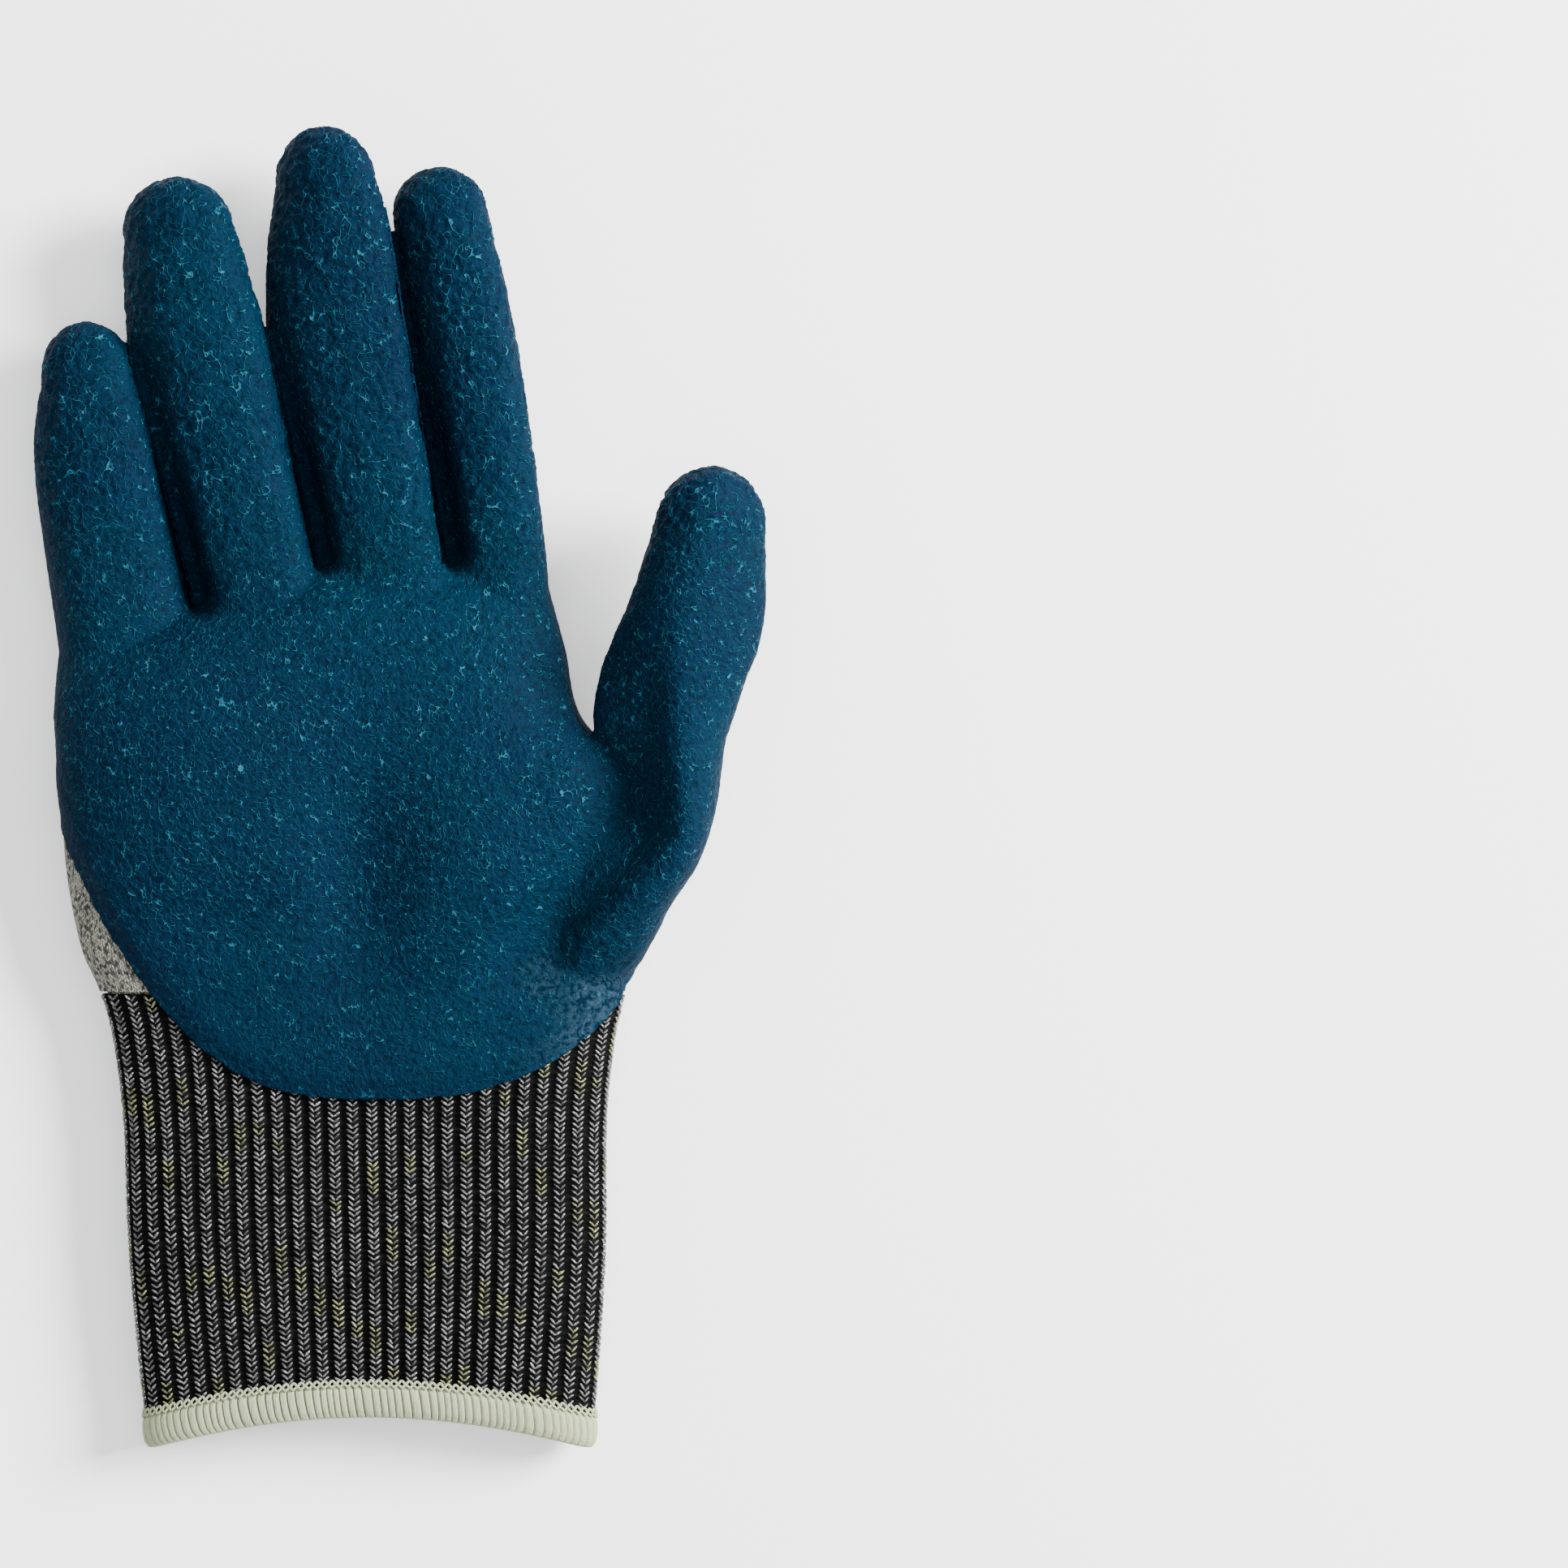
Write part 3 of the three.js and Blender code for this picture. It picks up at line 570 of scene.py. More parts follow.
def hand_surface(inset, voxel, start):
    """The whole hand as one surface at an inset, the fingers parted by narrow slots."""
    overlap = -2 * inset - 0.5
    shapes = [tube(body_rings(start, inset, sides=200, step=1.2))]
    for digit in DIGITS:
        rings = digit_rings(digit, start_of(digit), inset, sides=84, gap=overlap, step=1.0)
        shapes.append(tube(rings))
    points, faces = with_modifier(*joined(shapes), "REMESH", mode="VOXEL", voxel_size=voxel)
    points = smoothed(points, faces, rounds=3, weight=0.5)
    edges, _ = edges_of(faces)
    pull = neighbour_mean(points, edges, len(points)) - points
    hollow = (pull * normals_of(points, faces)).sum(1) / voxel
    crease = smoothstep(hollow, 0.04, 0.14)[:, None]
    for _ in range(int(3 / voxel)):
        crease = np.maximum(crease, neighbour_mean(crease, edges, len(points)) * 0.96)
    points = softened_fold(points, edges, crease, voxel)
    points = sloped_beside_crest(points)
    webs = PALM_LENGTH + web_slant(points[:, 0])
    by_fingers = smoothstep(points[:, 1] - webs, 0, 5) * (points[:, 0] < 0.4 * PALM_WIDTH)
    crease = crease[:, 0] * (1 - by_fingers)
    points = smoothed(points, faces, rounds_for(26, voxel), 0.5 * crease[:, None])
    for parting in PARTINGS:
        points = channelled(points, parting)
    points[:, 2] = np.maximum(points[:, 2], 0)
    for parting in PARTINGS:
        points, faces = slotted(points, faces, parting, SLOT_WIDTH + 2 * inset)
    return points, faces


def sloped_beside_crest(points):
    """The surface pressed down on the palm's side of the crest that runs along the thumb's base."""
    x, y, _ = points.T
    off = x - np.interp(y, [row["y"] for row in THUMB_CREST], [row["x"] for row in THUMB_CREST])
    across = smoothstep(off, -22, -10) * (1 - smoothstep(off, -8, 0.5))
    run = smoothstep(y, -6, 8) * (1 - smoothstep(y, 50, 72))
    points = points.copy()
    points[:, 2] *= 1 - CREST_SLOPE * across * run
    return points


def softened_fold(points, edges, crease, voxel):
    """The surface with a wide soft foot where the thumb's base rises out of the palm."""
    x, y, z = points.T
    near = smoothstep(y, -8, 2) * (1 - smoothstep(y, 24, 40)) * smoothstep(x, 22, 32)
    near = near * (1 - smoothstep(x, 50, 58)) * smoothstep(z, 8, 12)
    root = smoothstep(x, 57, 63) * smoothstep(y, 34, 44) * (1 - smoothstep(y, 56, 66))
    spread = crease
    for _ in range(int(5 / voxel)):
        spread = np.maximum(spread, neighbour_mean(spread, edges, len(points)) * 0.985)
    weight = np.maximum(near * spread[:, 0], 0.9 * root)
    some = weight > 0.01
    index = np.cumsum(some) - 1
    inner = index[edges[some[edges[:, 0]] & some[edges[:, 1]]]]
    part = points[some]
    own = weight[some][:, None]
    for _ in range(rounds_for(110, voxel)):
        part = part + (neighbour_mean(part, inner, len(part)) - part) * 0.5 * own
    points = points.copy()
    points[some] = part
    return points


def channelled(points, parting):
    """The surface pressed down along the little side of a finger, from the web part of the way up."""
    foot, along, to_thumb = parting_line(parting)
    across = (points - foot) @ to_thumb
    up = (points - foot) @ along - web_slant(foot[0])
    across = across - 0.25 * np.minimum(up, 0)
    profile = np.where(across < 0.9, smoothstep(across, -1.2, 0.9), 1 - smoothstep(across, 2.4, 6.5))
    run = smoothstep(up, -3.5, 2.5) * (1 - 0.75 * smoothstep(up, 10, 40)) * (1 - smoothstep(up, 40, 62))
    points = points.copy()
    points[:, 2] *= 1 - CHANNEL_DEPTH * profile * run
    return points


def slotted(points, faces, parting, width):
    """The surface with a narrow slot between two fingers cut down through it."""
    foot, along, to_thumb = parting_line(parting)
    start = web_slant(foot[0]) - 0.5
    corners = []
    for z in SLOT_HEIGHTS:
        for run, side in ((start, -1), (start, 1), (SLOT_LENGTH, 1), (SLOT_LENGTH, -1)):
            corners.append(foot + along * run + to_thumb * side * width / 2 + np.array([0, 0, z]))
    sides = [(0, 2, 1), (0, 3, 2), (4, 5, 6), (4, 6, 7)]
    for k in range(4):
        j = (k + 1) % 4
        sides += [(k, j, j + 4), (k, j + 4, k + 4)]
    block = bpy.data.objects.new("block", mesh_of("block", np.array(corners), np.array(sides)))
    bpy.context.scene.collection.objects.link(block)
    result = with_modifier(points, faces, "BOOLEAN", object=block, operation="DIFFERENCE", solver="MANIFOLD")
    bpy.data.objects.remove(block)
    return result


def add_piece(name, points, faces, material, numbers=None, uv=None):
    """A shown piece that rides on the glove's one body."""
    mesh = mesh_of(name, (points + FRAME_SHIFT) * TO_METRES, faces)
    mesh.polygons.foreach_set("use_smooth", np.ones(len(faces), bool))
    for key, values in (numbers or {}).items():
        attribute = mesh.attributes.new(key, "FLOAT", "POINT")
        attribute.data.foreach_set("value", np.asarray(values, np.float32).ravel())
    if uv is not None:
        layer = mesh.uv_layers.new(name="knit")
        layer.data.foreach_set("uv", np.asarray(uv[faces.ravel()], np.float32).ravel())
    mesh.materials.append(material)
    obj = bpy.data.objects.new(name, mesh)
    bpy.context.scene.collection.objects.link(obj)
    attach(obj, "root")
    return obj


class Shader:
    """A small helper that adds and links the nodes of one material."""

    def __init__(self, name):
        self.material = bpy.data.materials.new(name)
        self.material.use_nodes = True
        self.tree = self.material.node_tree
        self.surface = self.tree.nodes["Principled BSDF"]

    def add(self, kind, inputs=(), out=0, **settings):
        """A node with its settings and inputs; gives the output asked for."""
        node = self.tree.nodes.new("ShaderNode" + kind)
        for key, value in settings.items():
            setattr(node, key, value)
        for key, value in dict(inputs).items():
            self.put(node.inputs[key], value)
        return node.outputs[out]

    def put(self, socket, value):
        """Links an output to a socket, or sets the socket's own value."""
        if isinstance(value, bpy.types.NodeSocket):
            self.tree.links.new(value, socket)
        else:
            socket.default_value = value

    def math(self, operation, a, b=0.0):
        """What an operation makes of one or two numbers."""
        return self.add("Math", {0: a, 1: b}, operation=operation)

    def noise(self, place, scale, detail, roughness=0.5):
        """Soft noise with so many lumps to one unit of place."""
        inputs = {"Vector": place, "Scale": scale, "Detail": detail, "Roughness": roughness}
        return self.add("TexNoise", inputs)

    def kept(self, name):
        """A number that the mesh keeps at each of its points."""
        return self.add("Attribute", attribute_name=name, out=2)

    def ramp(self, value, low, high, to_low=0.0, to_high=1.0):
        """A value moved smoothly from one range to another."""
        inputs = {0: value, 1: low, 2: high, 3: to_low, 4: to_high}
        return self.add("MapRange", inputs, interpolation_type="SMOOTHSTEP")

    def mix(self, factor, a, b):
        """A colour between two colours."""
        return self.add("Mix", {0: factor, 6: a, 7: b}, out=2, data_type="RGBA")

    def finish(self, colour, height, depth, roughness, gloss=0.5):
        """Puts the colour, the bump of so many millimetres and the gloss on the surface."""
        self.put(self.surface.inputs["Base Color"], colour)
        inputs = {"Height": height, "Distance": depth * TO_METRES, "Strength": 1.0}
        self.put(self.surface.inputs["Normal"], self.add("Bump", inputs))
        self.surface.inputs["Roughness"].default_value = roughness
        self.surface.inputs["Specular IOR Level"].default_value = gloss
        return self.material


def latex_material():
    """Matt teal latex with a crinkled skin of short winding ridges, with painted highlights on the ridges
    and painted shade in the pits.
    """
    teal_low, teal_high = (0.0003, 0.008, 0.022, 1), (0.0003, 0.0108, 0.025, 1)
    painted_ridge_highlight, painted_pit_shade = (0.012, 0.078, 0.12, 1), (0.0001, 0.0025, 0.007, 1)
    dust_tone = (0.07, 0.12, 0.16, 1)
    shade = Shader("crinkled_latex")
    place = shade.add("TexCoord", out=3)
    warp = shade.add("TexNoise", {"Vector": place, "Scale": 700, "Detail": 1.0}, out=1)
    warp = shade.add("VectorMath", {0: warp, 1: (0.5, 0.5, 0.5)}, operation="SUBTRACT")
    warp = shade.add("VectorMath", {0: warp, 3: 0.0007}, operation="SCALE")
    bent = shade.add("VectorMath", {0: place, 1: warp}, operation="ADD")

    def winding(scale, seed, width):
        """Thin lines along which noise crosses its middle value."""
        moved = shade.add("VectorMath", {0: bent, 1: (seed, 0.5 * seed, 0.2 * seed)}, operation="ADD")
        away = shade.math("ABSOLUTE", shade.math("SUBTRACT", shade.noise(moved, scale, 0.0), 0.5))
        return shade.ramp(away, 0.0, width, 1.0, 0.0)

    fine_lines = shade.math("MAXIMUM", winding(640, 1.0, 0.034), winding(740, 2.3, 0.028))
    broad_lines = shade.math("MAXIMUM", winding(440, 3.1, 0.03), winding(530, 4.7, 0.026))
    lines = {0: shade.kept("coarse"), 2: fine_lines, 3: broad_lines}
    lines = shade.add("Mix", lines, data_type="FLOAT")
    calm = shade.ramp(shade.kept("near_edge"), 0.0, 1.0, 1.0, 0.35)
    lines = shade.math("MULTIPLY", lines, calm)
    pits = shade.noise(bent, 900, 1.0)
    grain = shade.noise(place, 3500, 2.0)
    patches = shade.noise(place, 28, 2.0)
    height = shade.math("ADD", lines, shade.math("MULTIPLY", pits, 0.8))
    height = shade.math("ADD", height, shade.math("MULTIPLY", grain, 0.12))
    base = shade.mix(shade.ramp(patches, 0.35, 0.7), teal_low, teal_high)
    # Painted highlight: the ridge lines are lightened in the colour as well as raised by the bump.
    colour = shade.mix(lines, base, painted_ridge_highlight)
    # Painted shade: the low pits of the crinkle are darkened in the colour.
    colour = shade.mix(shade.ramp(pits, 0.3, 0.5, 0.45, 0.0), colour, painted_pit_shade)
    dusty = shade.math("MULTIPLY", shade.kept("bloom"), shade.ramp(pits, 0.35, 0.6))
    colour = shade.mix(dusty, colour, dust_tone)
    return shade.finish(colour, height, depth=0.6, roughness=0.62, gloss=0.03)


def knit_material():
    """Heather jersey in cream and grey yarn, with painted shade in the gaps between loops. Its UV counts
    millimetres round and along.
    """
    wale_width, course_height = 1.1, 0.73
    cream, grey = (0.36, 0.36, 0.29, 1), (0.24, 0.24, 0.2, 1)
    dark_fleck, painted_gap_shade = (0.025, 0.027, 0.025, 1), (0.02, 0.02, 0.018, 1)
    shade = Shader("heather_jersey")
    uv = shade.add("UVMap", uv_map="knit")
    split = shade.tree.nodes.new("ShaderNodeSeparateXYZ")
    shade.put(split.inputs[0], uv)
    wale = shade.math("DIVIDE", split.outputs[0], wale_width)
    inside = shade.math("FRACT", wale)
    off = shade.math("ABSOLUTE", shade.math("SUBTRACT", inside, 0.5))
    course = shade.math("DIVIDE", split.outputs[1], course_height)
    course = shade.math("ADD", course, shade.math("MULTIPLY", off, -1.5))
    legs = shade.math("ABSOLUTE", shade.math("SINE", shade.math("MULTIPLY", wale, 2 * math.pi)))
    steps = shade.math("ABSOLUTE", shade.math("SINE", shade.math("MULTIPLY", course, math.pi)))
    height = shade.math("MULTIPLY", shade.math("POWER", legs, 0.6), shade.math("POWER", steps, 0.7))
    row = shade.math("FLOOR", course)
    round_way = shade.math("MULTIPLY", split.outputs[0], 0.6)
    yarn = shade.add("CombineXYZ", {0: round_way, 1: shade.math("MULTIPLY", row, 3.7)})
    flecks = shade.noise(yarn, 1.7, 3.0, 0.7)
    fibres = shade.noise(uv, 5.0, 3.0)
    light = shade.mix(shade.ramp(fibres, 0.4, 0.6), cream, grey)
    colour = shade.mix(shade.ramp(flecks, 0.44, 0.6), light, dark_fleck)
    # Painted shade: the low gaps between the knit loops are darkened in the colour.
    colour = shade.mix(shade.ramp(height, 0.0, 0.4, 0.85, 0.0), colour, painted_gap_shade)
    return shade.finish(colour, height, depth=0.35, roughness=0.9, gloss=0.2)


def ground_material():
    """Black yarn between and under the ribs."""
    black, dark = (0.001, 0.001, 0.001, 1), (0.006, 0.006, 0.006, 1)
    shade = Shader("black_rib_ground")
    place = shade.add("TexCoord", out=3)
    rows = shade.add("Mapping", {0: place, 3: (300, 1600, 300)})
    fibres = shade.noise(rows, 1.0, 3.0)
    colour = shade.mix(shade.ramp(fibres, 0.45, 0.75), black, dark)
    return shade.finish(colour, fibres, depth=0.2, roughness=0.95, gloss=0.1)


def stitch_material():
    """Glossy marled yarn, light grey with dark strands and some lime stretches."""
    dark_grey, light_grey = (0.012, 0.012, 0.012, 1), (0.26, 0.26, 0.26, 1)
    dark_lime, light_lime = (0.03, 0.034, 0.012, 1), (0.3, 0.32, 0.13, 1)
    dark_strand = (0.006, 0.006, 0.006, 1)
    shade = Shader("marled_rib_yarn")
    place = shade.add("TexCoord", out=3)
    strands = shade.noise(place, 2600, 2.0, 0.6)
    tone = shade.kept("tone")
    grey = shade.mix(tone, dark_grey, light_grey)
    green = shade.mix(tone, dark_lime, light_lime)
    colour = shade.mix(shade.kept("lime"), grey, green)
    colour = shade.mix(shade.ramp(strands, 0.44, 0.62, 0.9, 0.0), colour, dark_strand)
    return shade.finish(colour, strands, depth=0.12, roughness=0.42)


def thread_material():
    """Pale grey green sewing thread, with painted shade in the grooves between wraps."""
    worn_tone, fresh_tone = (0.262, 0.29, 0.17, 1), (0.315, 0.342, 0.214, 1)
    fibre_gap, painted_groove_shade = (0.17, 0.18, 0.13, 1), (0.06, 0.065, 0.045, 1)
    shade = Shader("overlock_thread")
    place = shade.add("TexCoord", out=3)
    rows = shade.add("Mapping", {0: place, 3: (3200, 500, 1200)})
    fibres = shade.noise(rows, 1.0, 2.0)
    colour = shade.mix(shade.noise(place, 120, 1.0), worn_tone, fresh_tone)
    colour = shade.mix(shade.ramp(fibres, 0.3, 0.6, 0.35, 0.0), colour, fibre_gap)
    # Painted shade: the sunk grooves between the thread wraps are darkened in the colour.
    colour = shade.mix(shade.ramp(shade.kept("groove"), 0.3, 1.0), colour, painted_groove_shade)
    return shade.finish(colour, fibres, depth=0.15, roughness=0.7, gloss=0.25)


def floor_material():
    """Plain pale floor that also glows, lightening the glove's shadow on it."""
    shade = Shader("pale_glowing_floor")
    place = shade.add("TexCoord", out=3)
    cloud = shade.noise(place, 3.0, 1.0)
    colour = shade.mix(cloud, (0.90, 0.90, 0.90, 1), (0.91, 0.91, 0.91, 1))
    # The floor glows, though it is no lamp, to wash out the shadows on it and light the glove's sides a
    # little from below.
    shade.surface.inputs["Emission Color"].default_value = (1, 1, 1, 1)
    shade.surface.inputs["Emission Strength"].default_value = 0.42
    return shade.finish(colour, cloud, depth=0.0, roughness=0.9, gloss=0.1)


def add_latex():
    """The coating: crinkled over the palm and digits, thinner towards its edge."""
    points, faces = hand_surface(0.0, LATEX_VOXEL, start=-0.5)
    ragged = 0.35 * noise_at(points, size=2.2, seed=1) + 0.25 * noise_at(points, size=0.9, seed=2)
    level = coat_level(points) + ragged
    points, faces, (level,) = cut_at_zero(points, faces, level, [level])
    level = level[:, 0]
    normals = normals_of(points, faces)
    beyond = points[:, 1] - PALM_LENGTH
    coarse = smoothstep(beyond, -8, 14)
    amount = (0.12 + 0.2 * coarse) * smoothstep(level, 0, 9)
    crinkle = 1 - np.abs(noise_at(points, size=1.9, seed=3)) * 3.2
    lumps = noise_at(points, size=4.5, seed=4)
    thin = (SKIN - COAT_EDGE_WALL) * (1 - smoothstep(level, 0, 4))
    shift = amount * (np.clip(crinkle, -0.4, 1) + 0.8 * lumps) - thin
    points = points + normals * shift[:, None]
    points[:, 2] = np.maximum(points[:, 2], 0)
    edges, uses = edges_of(faces)
    rim = edges[uses == 1]
    rim_points, rim_faces = np.unique(rim, return_inverse=True)
    rim_faces = rim_faces.reshape(-1, 2) + len(points)
    skirt = points[rim_points] - normals[rim_points] * COAT_EDGE_TUCK
    turned = set(map(tuple, np.vstack([faces[:, [0, 1]], faces[:, [1, 2]], faces[:, [2, 0]]]).tolist()))
    way = np.array([(a, b) in turned for a, b in rim.tolist()])
    first = np.where(way[:, None], rim, rim[:, ::-1])
    second = np.where(way[:, None], rim_faces, rim_faces[:, ::-1])
    wall = np.vstack([
        np.stack([first[:, 1], first[:, 0], second[:, 0]], 1),
        np.stack([first[:, 1], second[:, 0], second[:, 1]], 1),
    ])
    points = np.vstack([points, skirt])
    faces = np.vstack([faces, wall])
    level = np.concatenate([level, np.zeros(len(skirt))])
    coarse = np.concatenate([coarse, coarse[rim_points]])
    near_edge = 1 - smoothstep(level, 1, 12)
    corner_x, corner_y, corner_reach = 36, 3, 9
    x, y, _ = points.T
    corner = np.exp(-(((x - corner_x) / corner_reach) ** 2) - ((y - corner_y) / corner_reach) ** 2)
    bloom = corner * (1 - smoothstep(level, 0.5, 6))
    numbers = {"coarse": coarse, "near_edge": near_edge, "bloom": bloom}
    coat = add_piece("latex_coat", points, faces, latex_material(), numbers)
    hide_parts("latex_skin")


def add_liner():
    """The knitted liner, as it shows round the coating and inside the cuff."""
    points, faces = hand_surface(SKIN, LINER_VOXEL, start=-0.1)
    points, faces, _ = cut_at_zero(points, faces, points[:, 1] - 0.15)
    around, along = [], []
    samples = [body_rings(-0.1, SKIN, sides=140, step=1.5)]
    for digit in DIGITS:
        samples.append(digit_rings(digit, start_of(digit), SKIN, sides=48, gap=0.6, step=1.5))
    for rings in samples:
        step_round = np.linalg.norm(np.diff(rings, axis=1), axis=2)
        u = np.concatenate([np.zeros((len(rings), 1)), np.cumsum(step_round, 1)], 1)
        u -= u[:, rings.shape[1] // 4][:, None]
        step_along = np.linalg.norm(np.diff(rings, axis=0), axis=2)
        v = np.concatenate([np.zeros((1, rings.shape[1])), np.cumsum(step_along, 0)], 0)
        around.append(u)
        along.append(v)
    flat_u = np.concatenate([u.ravel() for u in around])
    flat_v = np.concatenate([v.ravel() for v in along])
    flat = np.vstack([rings.reshape(-1, 3) for rings in samples])
    to_round = np.vstack([unit(np.roll(r, -1, 1) - np.roll(r, 1, 1)).reshape(-1, 3) for r in samples])
    to_tip = np.vstack([unit(np.gradient(r, axis=0)).reshape(-1, 3) for r in samples])
    tree = kdtree.KDTree(len(flat))
    for k, sample in enumerate(flat.tolist()):
        tree.insert(sample, k)
    tree.balance()
    nearest = np.array([tree.find(p)[1] for p in points.tolist()])
    off = points - flat[nearest]
    u = flat_u[nearest] + (off * to_round[nearest]).sum(1)
    v = flat_v[nearest] + (off * to_tip[nearest]).sum(1)
    inner = tube(body_rings(-0.1, SKIN + 1.4, sides=96, step=4)[:, ::-1])
    inner_uv = inner[0][:, :2]
    points, faces = joined([(points, faces), inner])
    uv = np.vstack([np.stack([u, v], 1), inner_uv])
    liner = add_piece("knit_liner", points, faces, knit_material(), uv=uv)
    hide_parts("palm_liner", *(f"{digit['name']}_liner" for digit in DIGITS))


def unit(vectors):
    """Vectors of length one."""
    return vectors / np.maximum(np.linalg.norm(vectors, axis=-1, keepdims=True), 1e-9)


def at_height(height):
    """The place along the body of a height above the cuff's edge."""
    return -1 + height / CUFF_LENGTH


def add_rib_ground():
    """The black ground of the cuff: low round ribs outside, plain inside."""
    per_rib = 10
    shares = np.arange(RIB_COUNT * per_rib) / (RIB_COUNT * per_rib)
    wave = np.abs(np.sin(math.pi * RIB_COUNT * shares))
    outside = SKIN + RIB_DEPTH - (RIB_DEPTH - 0.55) * smoothstep(wave, 0.35, 0.85)
    heights = np.linspace(1.2, CUFF_LENGTH - FIT_GAP, 56)
    outer = [body_ring(at_height(h), outside, shares) for h in heights]
    inside = SKIN + RIB_DEPTH + CUFF_WALL - 0.3 * wave
    inner = [body_ring(at_height(h), inside, shares) for h in heights[::-1]]
    points, faces = tube(np.array(outer + inner), closed=False)
    ground = add_piece("rib_ground", points, faces, ground_material())
    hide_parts("rib_cuff")


def grain_shape():
    """A rice grain of unit half lengths: its points along x, y and z, and its triangles."""
    sides, turns = 6, np.radians([38, 90, 142])
    rings = []
    for turn in turns:
        angles = 2 * math.pi * np.arange(sides) / sides
        ring = np.stack([np.full(sides, -math.cos(turn)), np.cos(angles), np.sin(angles)], 1)
        ring[:, 1:] *= math.sin(turn)
        rings.append(ring)
    points, faces = tube(np.array(rings))
    points[-2] = (-1, 0, 0)
    points[-1] = (1, 0, 0)
    return points, faces


def add_stitches():
    """Columns of V stitches, each leg a slanted grain of yarn, on the top of every rib."""
    pitch, slope = 1.04, math.radians(42)
    half_long, half_wide, half_thick = 0.8, 0.25, 0.3
    leg_across, leg_rise, under_coat = 0.53, 0.12, 1.5
    grain, grain_faces = grain_shape()
    chance = random.Random(7)
    heights = np.arange(HEM_HEIGHT + 0.2, CUFF_LENGTH - 0.6, pitch)
    per_rib = 6
    shares = np.arange(RIB_COUNT * per_rib) / (RIB_COUNT * per_rib)
    grid = np.array([body_ring(at_height(h), SKIN + 0.25, shares) for h in heights])
    to_round = unit(np.roll(grid, -1, 1) - np.roll(grid, 1, 1))
    to_tip = unit(np.gradient(grid, axis=0))
    outward = unit(np.cross(to_tip, to_round))
    limes = lime_runs(len(heights), chance)
    halves = {"upper": [], "lower": []}
    for rib in range(RIB_COUNT):
        column = rib * per_rib + per_rib // 2
        half = "upper" if rib < RIB_COUNT // 2 else "lower"
        levels = coat_level(grid[:, column])
        for row in np.flatnonzero(levels < under_coat):
            middle = grid[row, column]
            round_way, tip_way, out_way = to_round[row, column], to_tip[row, column], outward[row, column]
            for side in (-1, 1):
                jitter = chance.uniform(-0.14, 0.14)
                lie = slope + chance.uniform(-0.16, 0.16)
                long_way = round_way * (-side * math.cos(lie)) - tip_way * math.sin(lie) + out_way * leg_rise
                long_way = unit(long_way)
                wide_way = unit(np.cross(out_way, long_way))
                out = np.cross(long_way, wide_way)
                lifted = out_way * chance.uniform(-0.06, 0.06)
                centre = middle + round_way * side * leg_across + tip_way * jitter + lifted
                size = chance.uniform(0.9, 1.08)
                shape = (
                    np.outer(grain[:, 0] * half_long * size, long_way)
                    + np.outer(grain[:, 1] * half_wide * size, wide_way)
                    + np.outer(grain[:, 2] * half_thick, out)
                )
                tone = chance.uniform(0.0, 1.0) ** 0.8
                halves[half].append((centre + shape, tone, limes[rib][row]))
    material = stitch_material()
    for name, legs in halves.items():
        count = len(grain)
        points = np.vstack([leg[0] for leg in legs])
        faces = (grain_faces[None] + np.arange(len(legs))[:, None, None] * count).reshape(-1, 3)
        numbers = {
            "tone": np.repeat([leg[1] for leg in legs], count),
            "lime": np.repeat([leg[2] for leg in legs], count),
        }
        add_piece(f"rib_stitches_{name}", points, faces, material, numbers)


def lime_runs(rows, chance):
    """Which rows of each rib are knitted in the lime stretches of the yarn."""
    made = []
    for _ in range(RIB_COUNT):
        row = [0.0] * rows
        place = chance.randint(-4, 22)
        while place < rows:
            for k in range(max(place, 0), min(place + chance.randint(2, 6), rows)):
                row[k] = 1.0
            place += chance.randint(20, 50)
        made.append(row)
    return made


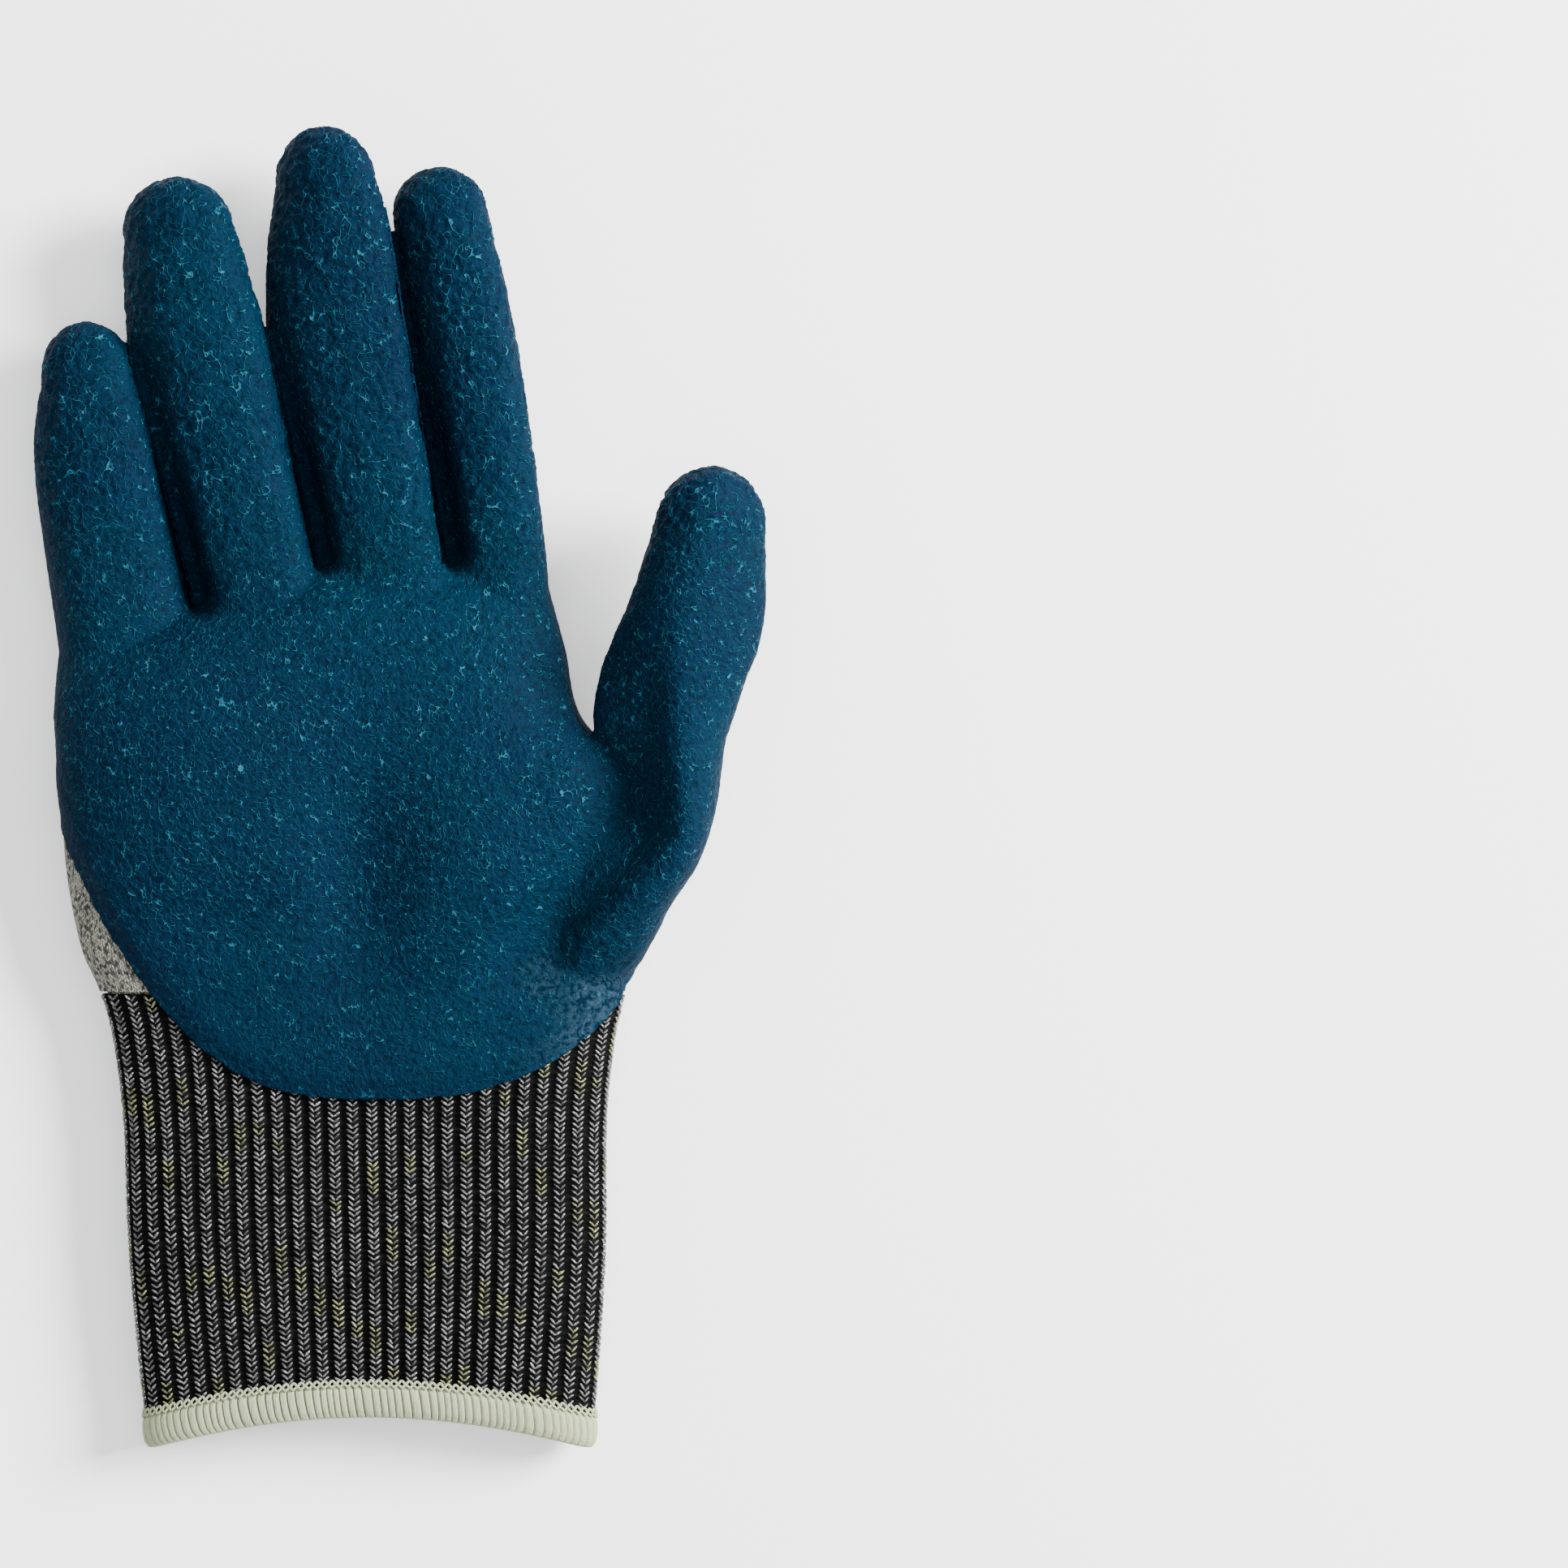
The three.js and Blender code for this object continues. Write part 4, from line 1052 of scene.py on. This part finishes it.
def add_hem():
    """The overlocked hem: wraps of thread round the cuff's edge."""
    wraps, slanted_rows = 128, 26
    groove_width, groove_depth = 0.085, 0.32
    sides = wraps * 12
    shares = np.arange(sides) / sides
    full = SKIN + RIB_DEPTH - FIT_GAP - HEM_LIP
    inner = SKIN + RIB_DEPTH + CUFF_WALL + FIT_GAP + HEM_WALL
    rows = []
    for up in np.linspace(1.0, 0.08, 16):
        rows.append((up, full + HEM_LIP * (1 - read_form(HEM_FORM, "full", up))))
    edge_inset = rows[-1][1]
    for turn in np.radians(np.arange(15, 166, 15)):
        inset = (edge_inset + inner) / 2 - (inner - edge_inset) / 2 * math.cos(turn)
        rows.append((0.08 - 0.14 * math.sin(turn), inset))
    for up in np.linspace(0.08, 1.0, 6):
        rows.append((up, inner))
    wobble = 0.25 * np.sin(2 * math.pi * 7 * shares) + 0.2 * np.sin(2 * math.pi * 17 * shares + 1)
    rings, grooves = [], []
    for k, (up, inset) in enumerate(rows):
        phase = wraps * shares + wobble - 0.5 * up * (k < slanted_rows)
        away = np.abs((phase + 0.5) % 1 - 0.5)
        groove = np.exp(-((away / groove_width) ** 2))
        sunk = inset + groove_depth * groove + 0.1 * (2 * away - 1) ** 2
        rings.append(body_ring(at_height(HEM_HEIGHT * up), sunk, shares))
        grooves.append(groove)
    points, faces = tube(np.array(rings), closed=False)
    material = thread_material()
    numbers = {"groove": np.array(grooves)}
    hem = add_piece("hem_wraps", points, faces[:, ::-1], material, numbers)
    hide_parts("cuff_hem")
    for name, height, swing, radius, inset, phase in (
        ("hem_loops_top", HEM_HEIGHT + 0.55, 0.36, 0.26, full + 0.55, 0.0),
        ("hem_loops_low", HEM_HEIGHT - 0.1, 0.24, 0.25, full + 0.35, math.pi),
    ):
        wave = 2 * math.pi * wraps * shares + phase
        up = height + swing * np.abs(np.sin(wave / 2)) * 2 - swing
        path = on_cuff(shares, up, inset - 0.12 * np.cos(wave))
        out = unit(path - on_cuff(shares, up, np.full(sides, inset + 1)))
        points, faces = tube(thread_rings(path, out, radius, 6), closed=False)
        faces = np.vstack([faces, closing_faces(sides, 6)])
        numbers = {"groove": np.zeros(len(points))}
        add_piece(name, points, faces, material, numbers)


def on_cuff(shares, heights, insets):
    """Points on the cuff at shares of its way round and heights above its edge."""
    low, high = HEM_HEIGHT - 2, HEM_HEIGHT + 3
    low_ring = body_ring(at_height(low), insets, shares)
    high_ring = body_ring(at_height(high), insets, shares)
    share = ((heights - low) / (high - low))[:, None]
    return low_ring * (1 - share) + high_ring * share


def thread_rings(path, out, radius, sides):
    """Rings of a round thread along a closed path, with one outward direction for each point."""
    ahead = unit(np.roll(path, -1, 0) - np.roll(path, 1, 0))
    side = unit(np.cross(ahead, out))
    up = np.cross(side, ahead)
    angles = 2 * math.pi * np.arange(sides) / sides
    level = side[:, None] * np.cos(angles)[:, None]
    upright = up[:, None] * np.sin(angles)[:, None]
    return path[:, None] + radius * (level + upright)


def closing_faces(rows, sides):
    """Triangles that join a thread's last ring to its first."""
    here = np.arange(sides)
    after = (here + 1) % sides
    last = (rows - 1) * sides
    first = np.stack([last + here, here, after], 1)
    second = np.stack([last + here, after, last + after], 1)
    return np.vstack([first, second])


def add_floor():
    """The pale, glowing floor that the glove lies on."""
    mesh = bpy.data.meshes.new("floor")
    reach = 3.0
    corners = [(-reach, -reach, 0), (reach, -reach, 0), (reach, reach, 0), (-reach, reach, 0)]
    mesh.from_pydata(corners, [], [(0, 1, 2, 3)])
    mesh.materials.append(floor_material())
    floor = bpy.data.objects.new("floor", mesh)
    bpy.context.scene.collection.objects.link(floor)
    floor.location.z = -0.0004


def add_light(name, place, size, energy):
    """A soft square light that faces the glove."""
    data = bpy.data.lights.new(name, "AREA")
    data.size = size
    data.energy = energy
    light = bpy.data.objects.new(name, data)
    light.location = place
    light.rotation_euler = (-Vector(place)).to_track_quat("-Z", "Y").to_euler()
    bpy.context.scene.collection.objects.link(light)


def add_camera():
    """The camera, straight above, with the glove in the left half of its frame."""
    data = bpy.data.cameras.new("camera")
    data.lens = 135
    camera = bpy.data.objects.new("camera", data)
    camera.location = (0.0729, 0.001, 1.125)
    bpy.context.scene.collection.objects.link(camera)
    bpy.context.scene.camera = camera


def set_world():
    """Even pale light from all round."""
    world = bpy.data.worlds.new("studio")
    world.use_nodes = True
    background = world.node_tree.nodes["Background"]
    background.inputs["Color"].default_value = (0.95, 0.97, 1, 1)
    background.inputs["Strength"].default_value = 0.9
    bpy.context.scene.world = world


add_latex()
add_liner()
add_rib_ground()
add_stitches()
add_hem()
add_floor()
add_light("key", (1.47, 0.54, 0.99), 0.75, 164)
add_light("fill", (0.1, 0.2, 1.3), 1.2, 12)
add_camera()
set_world()
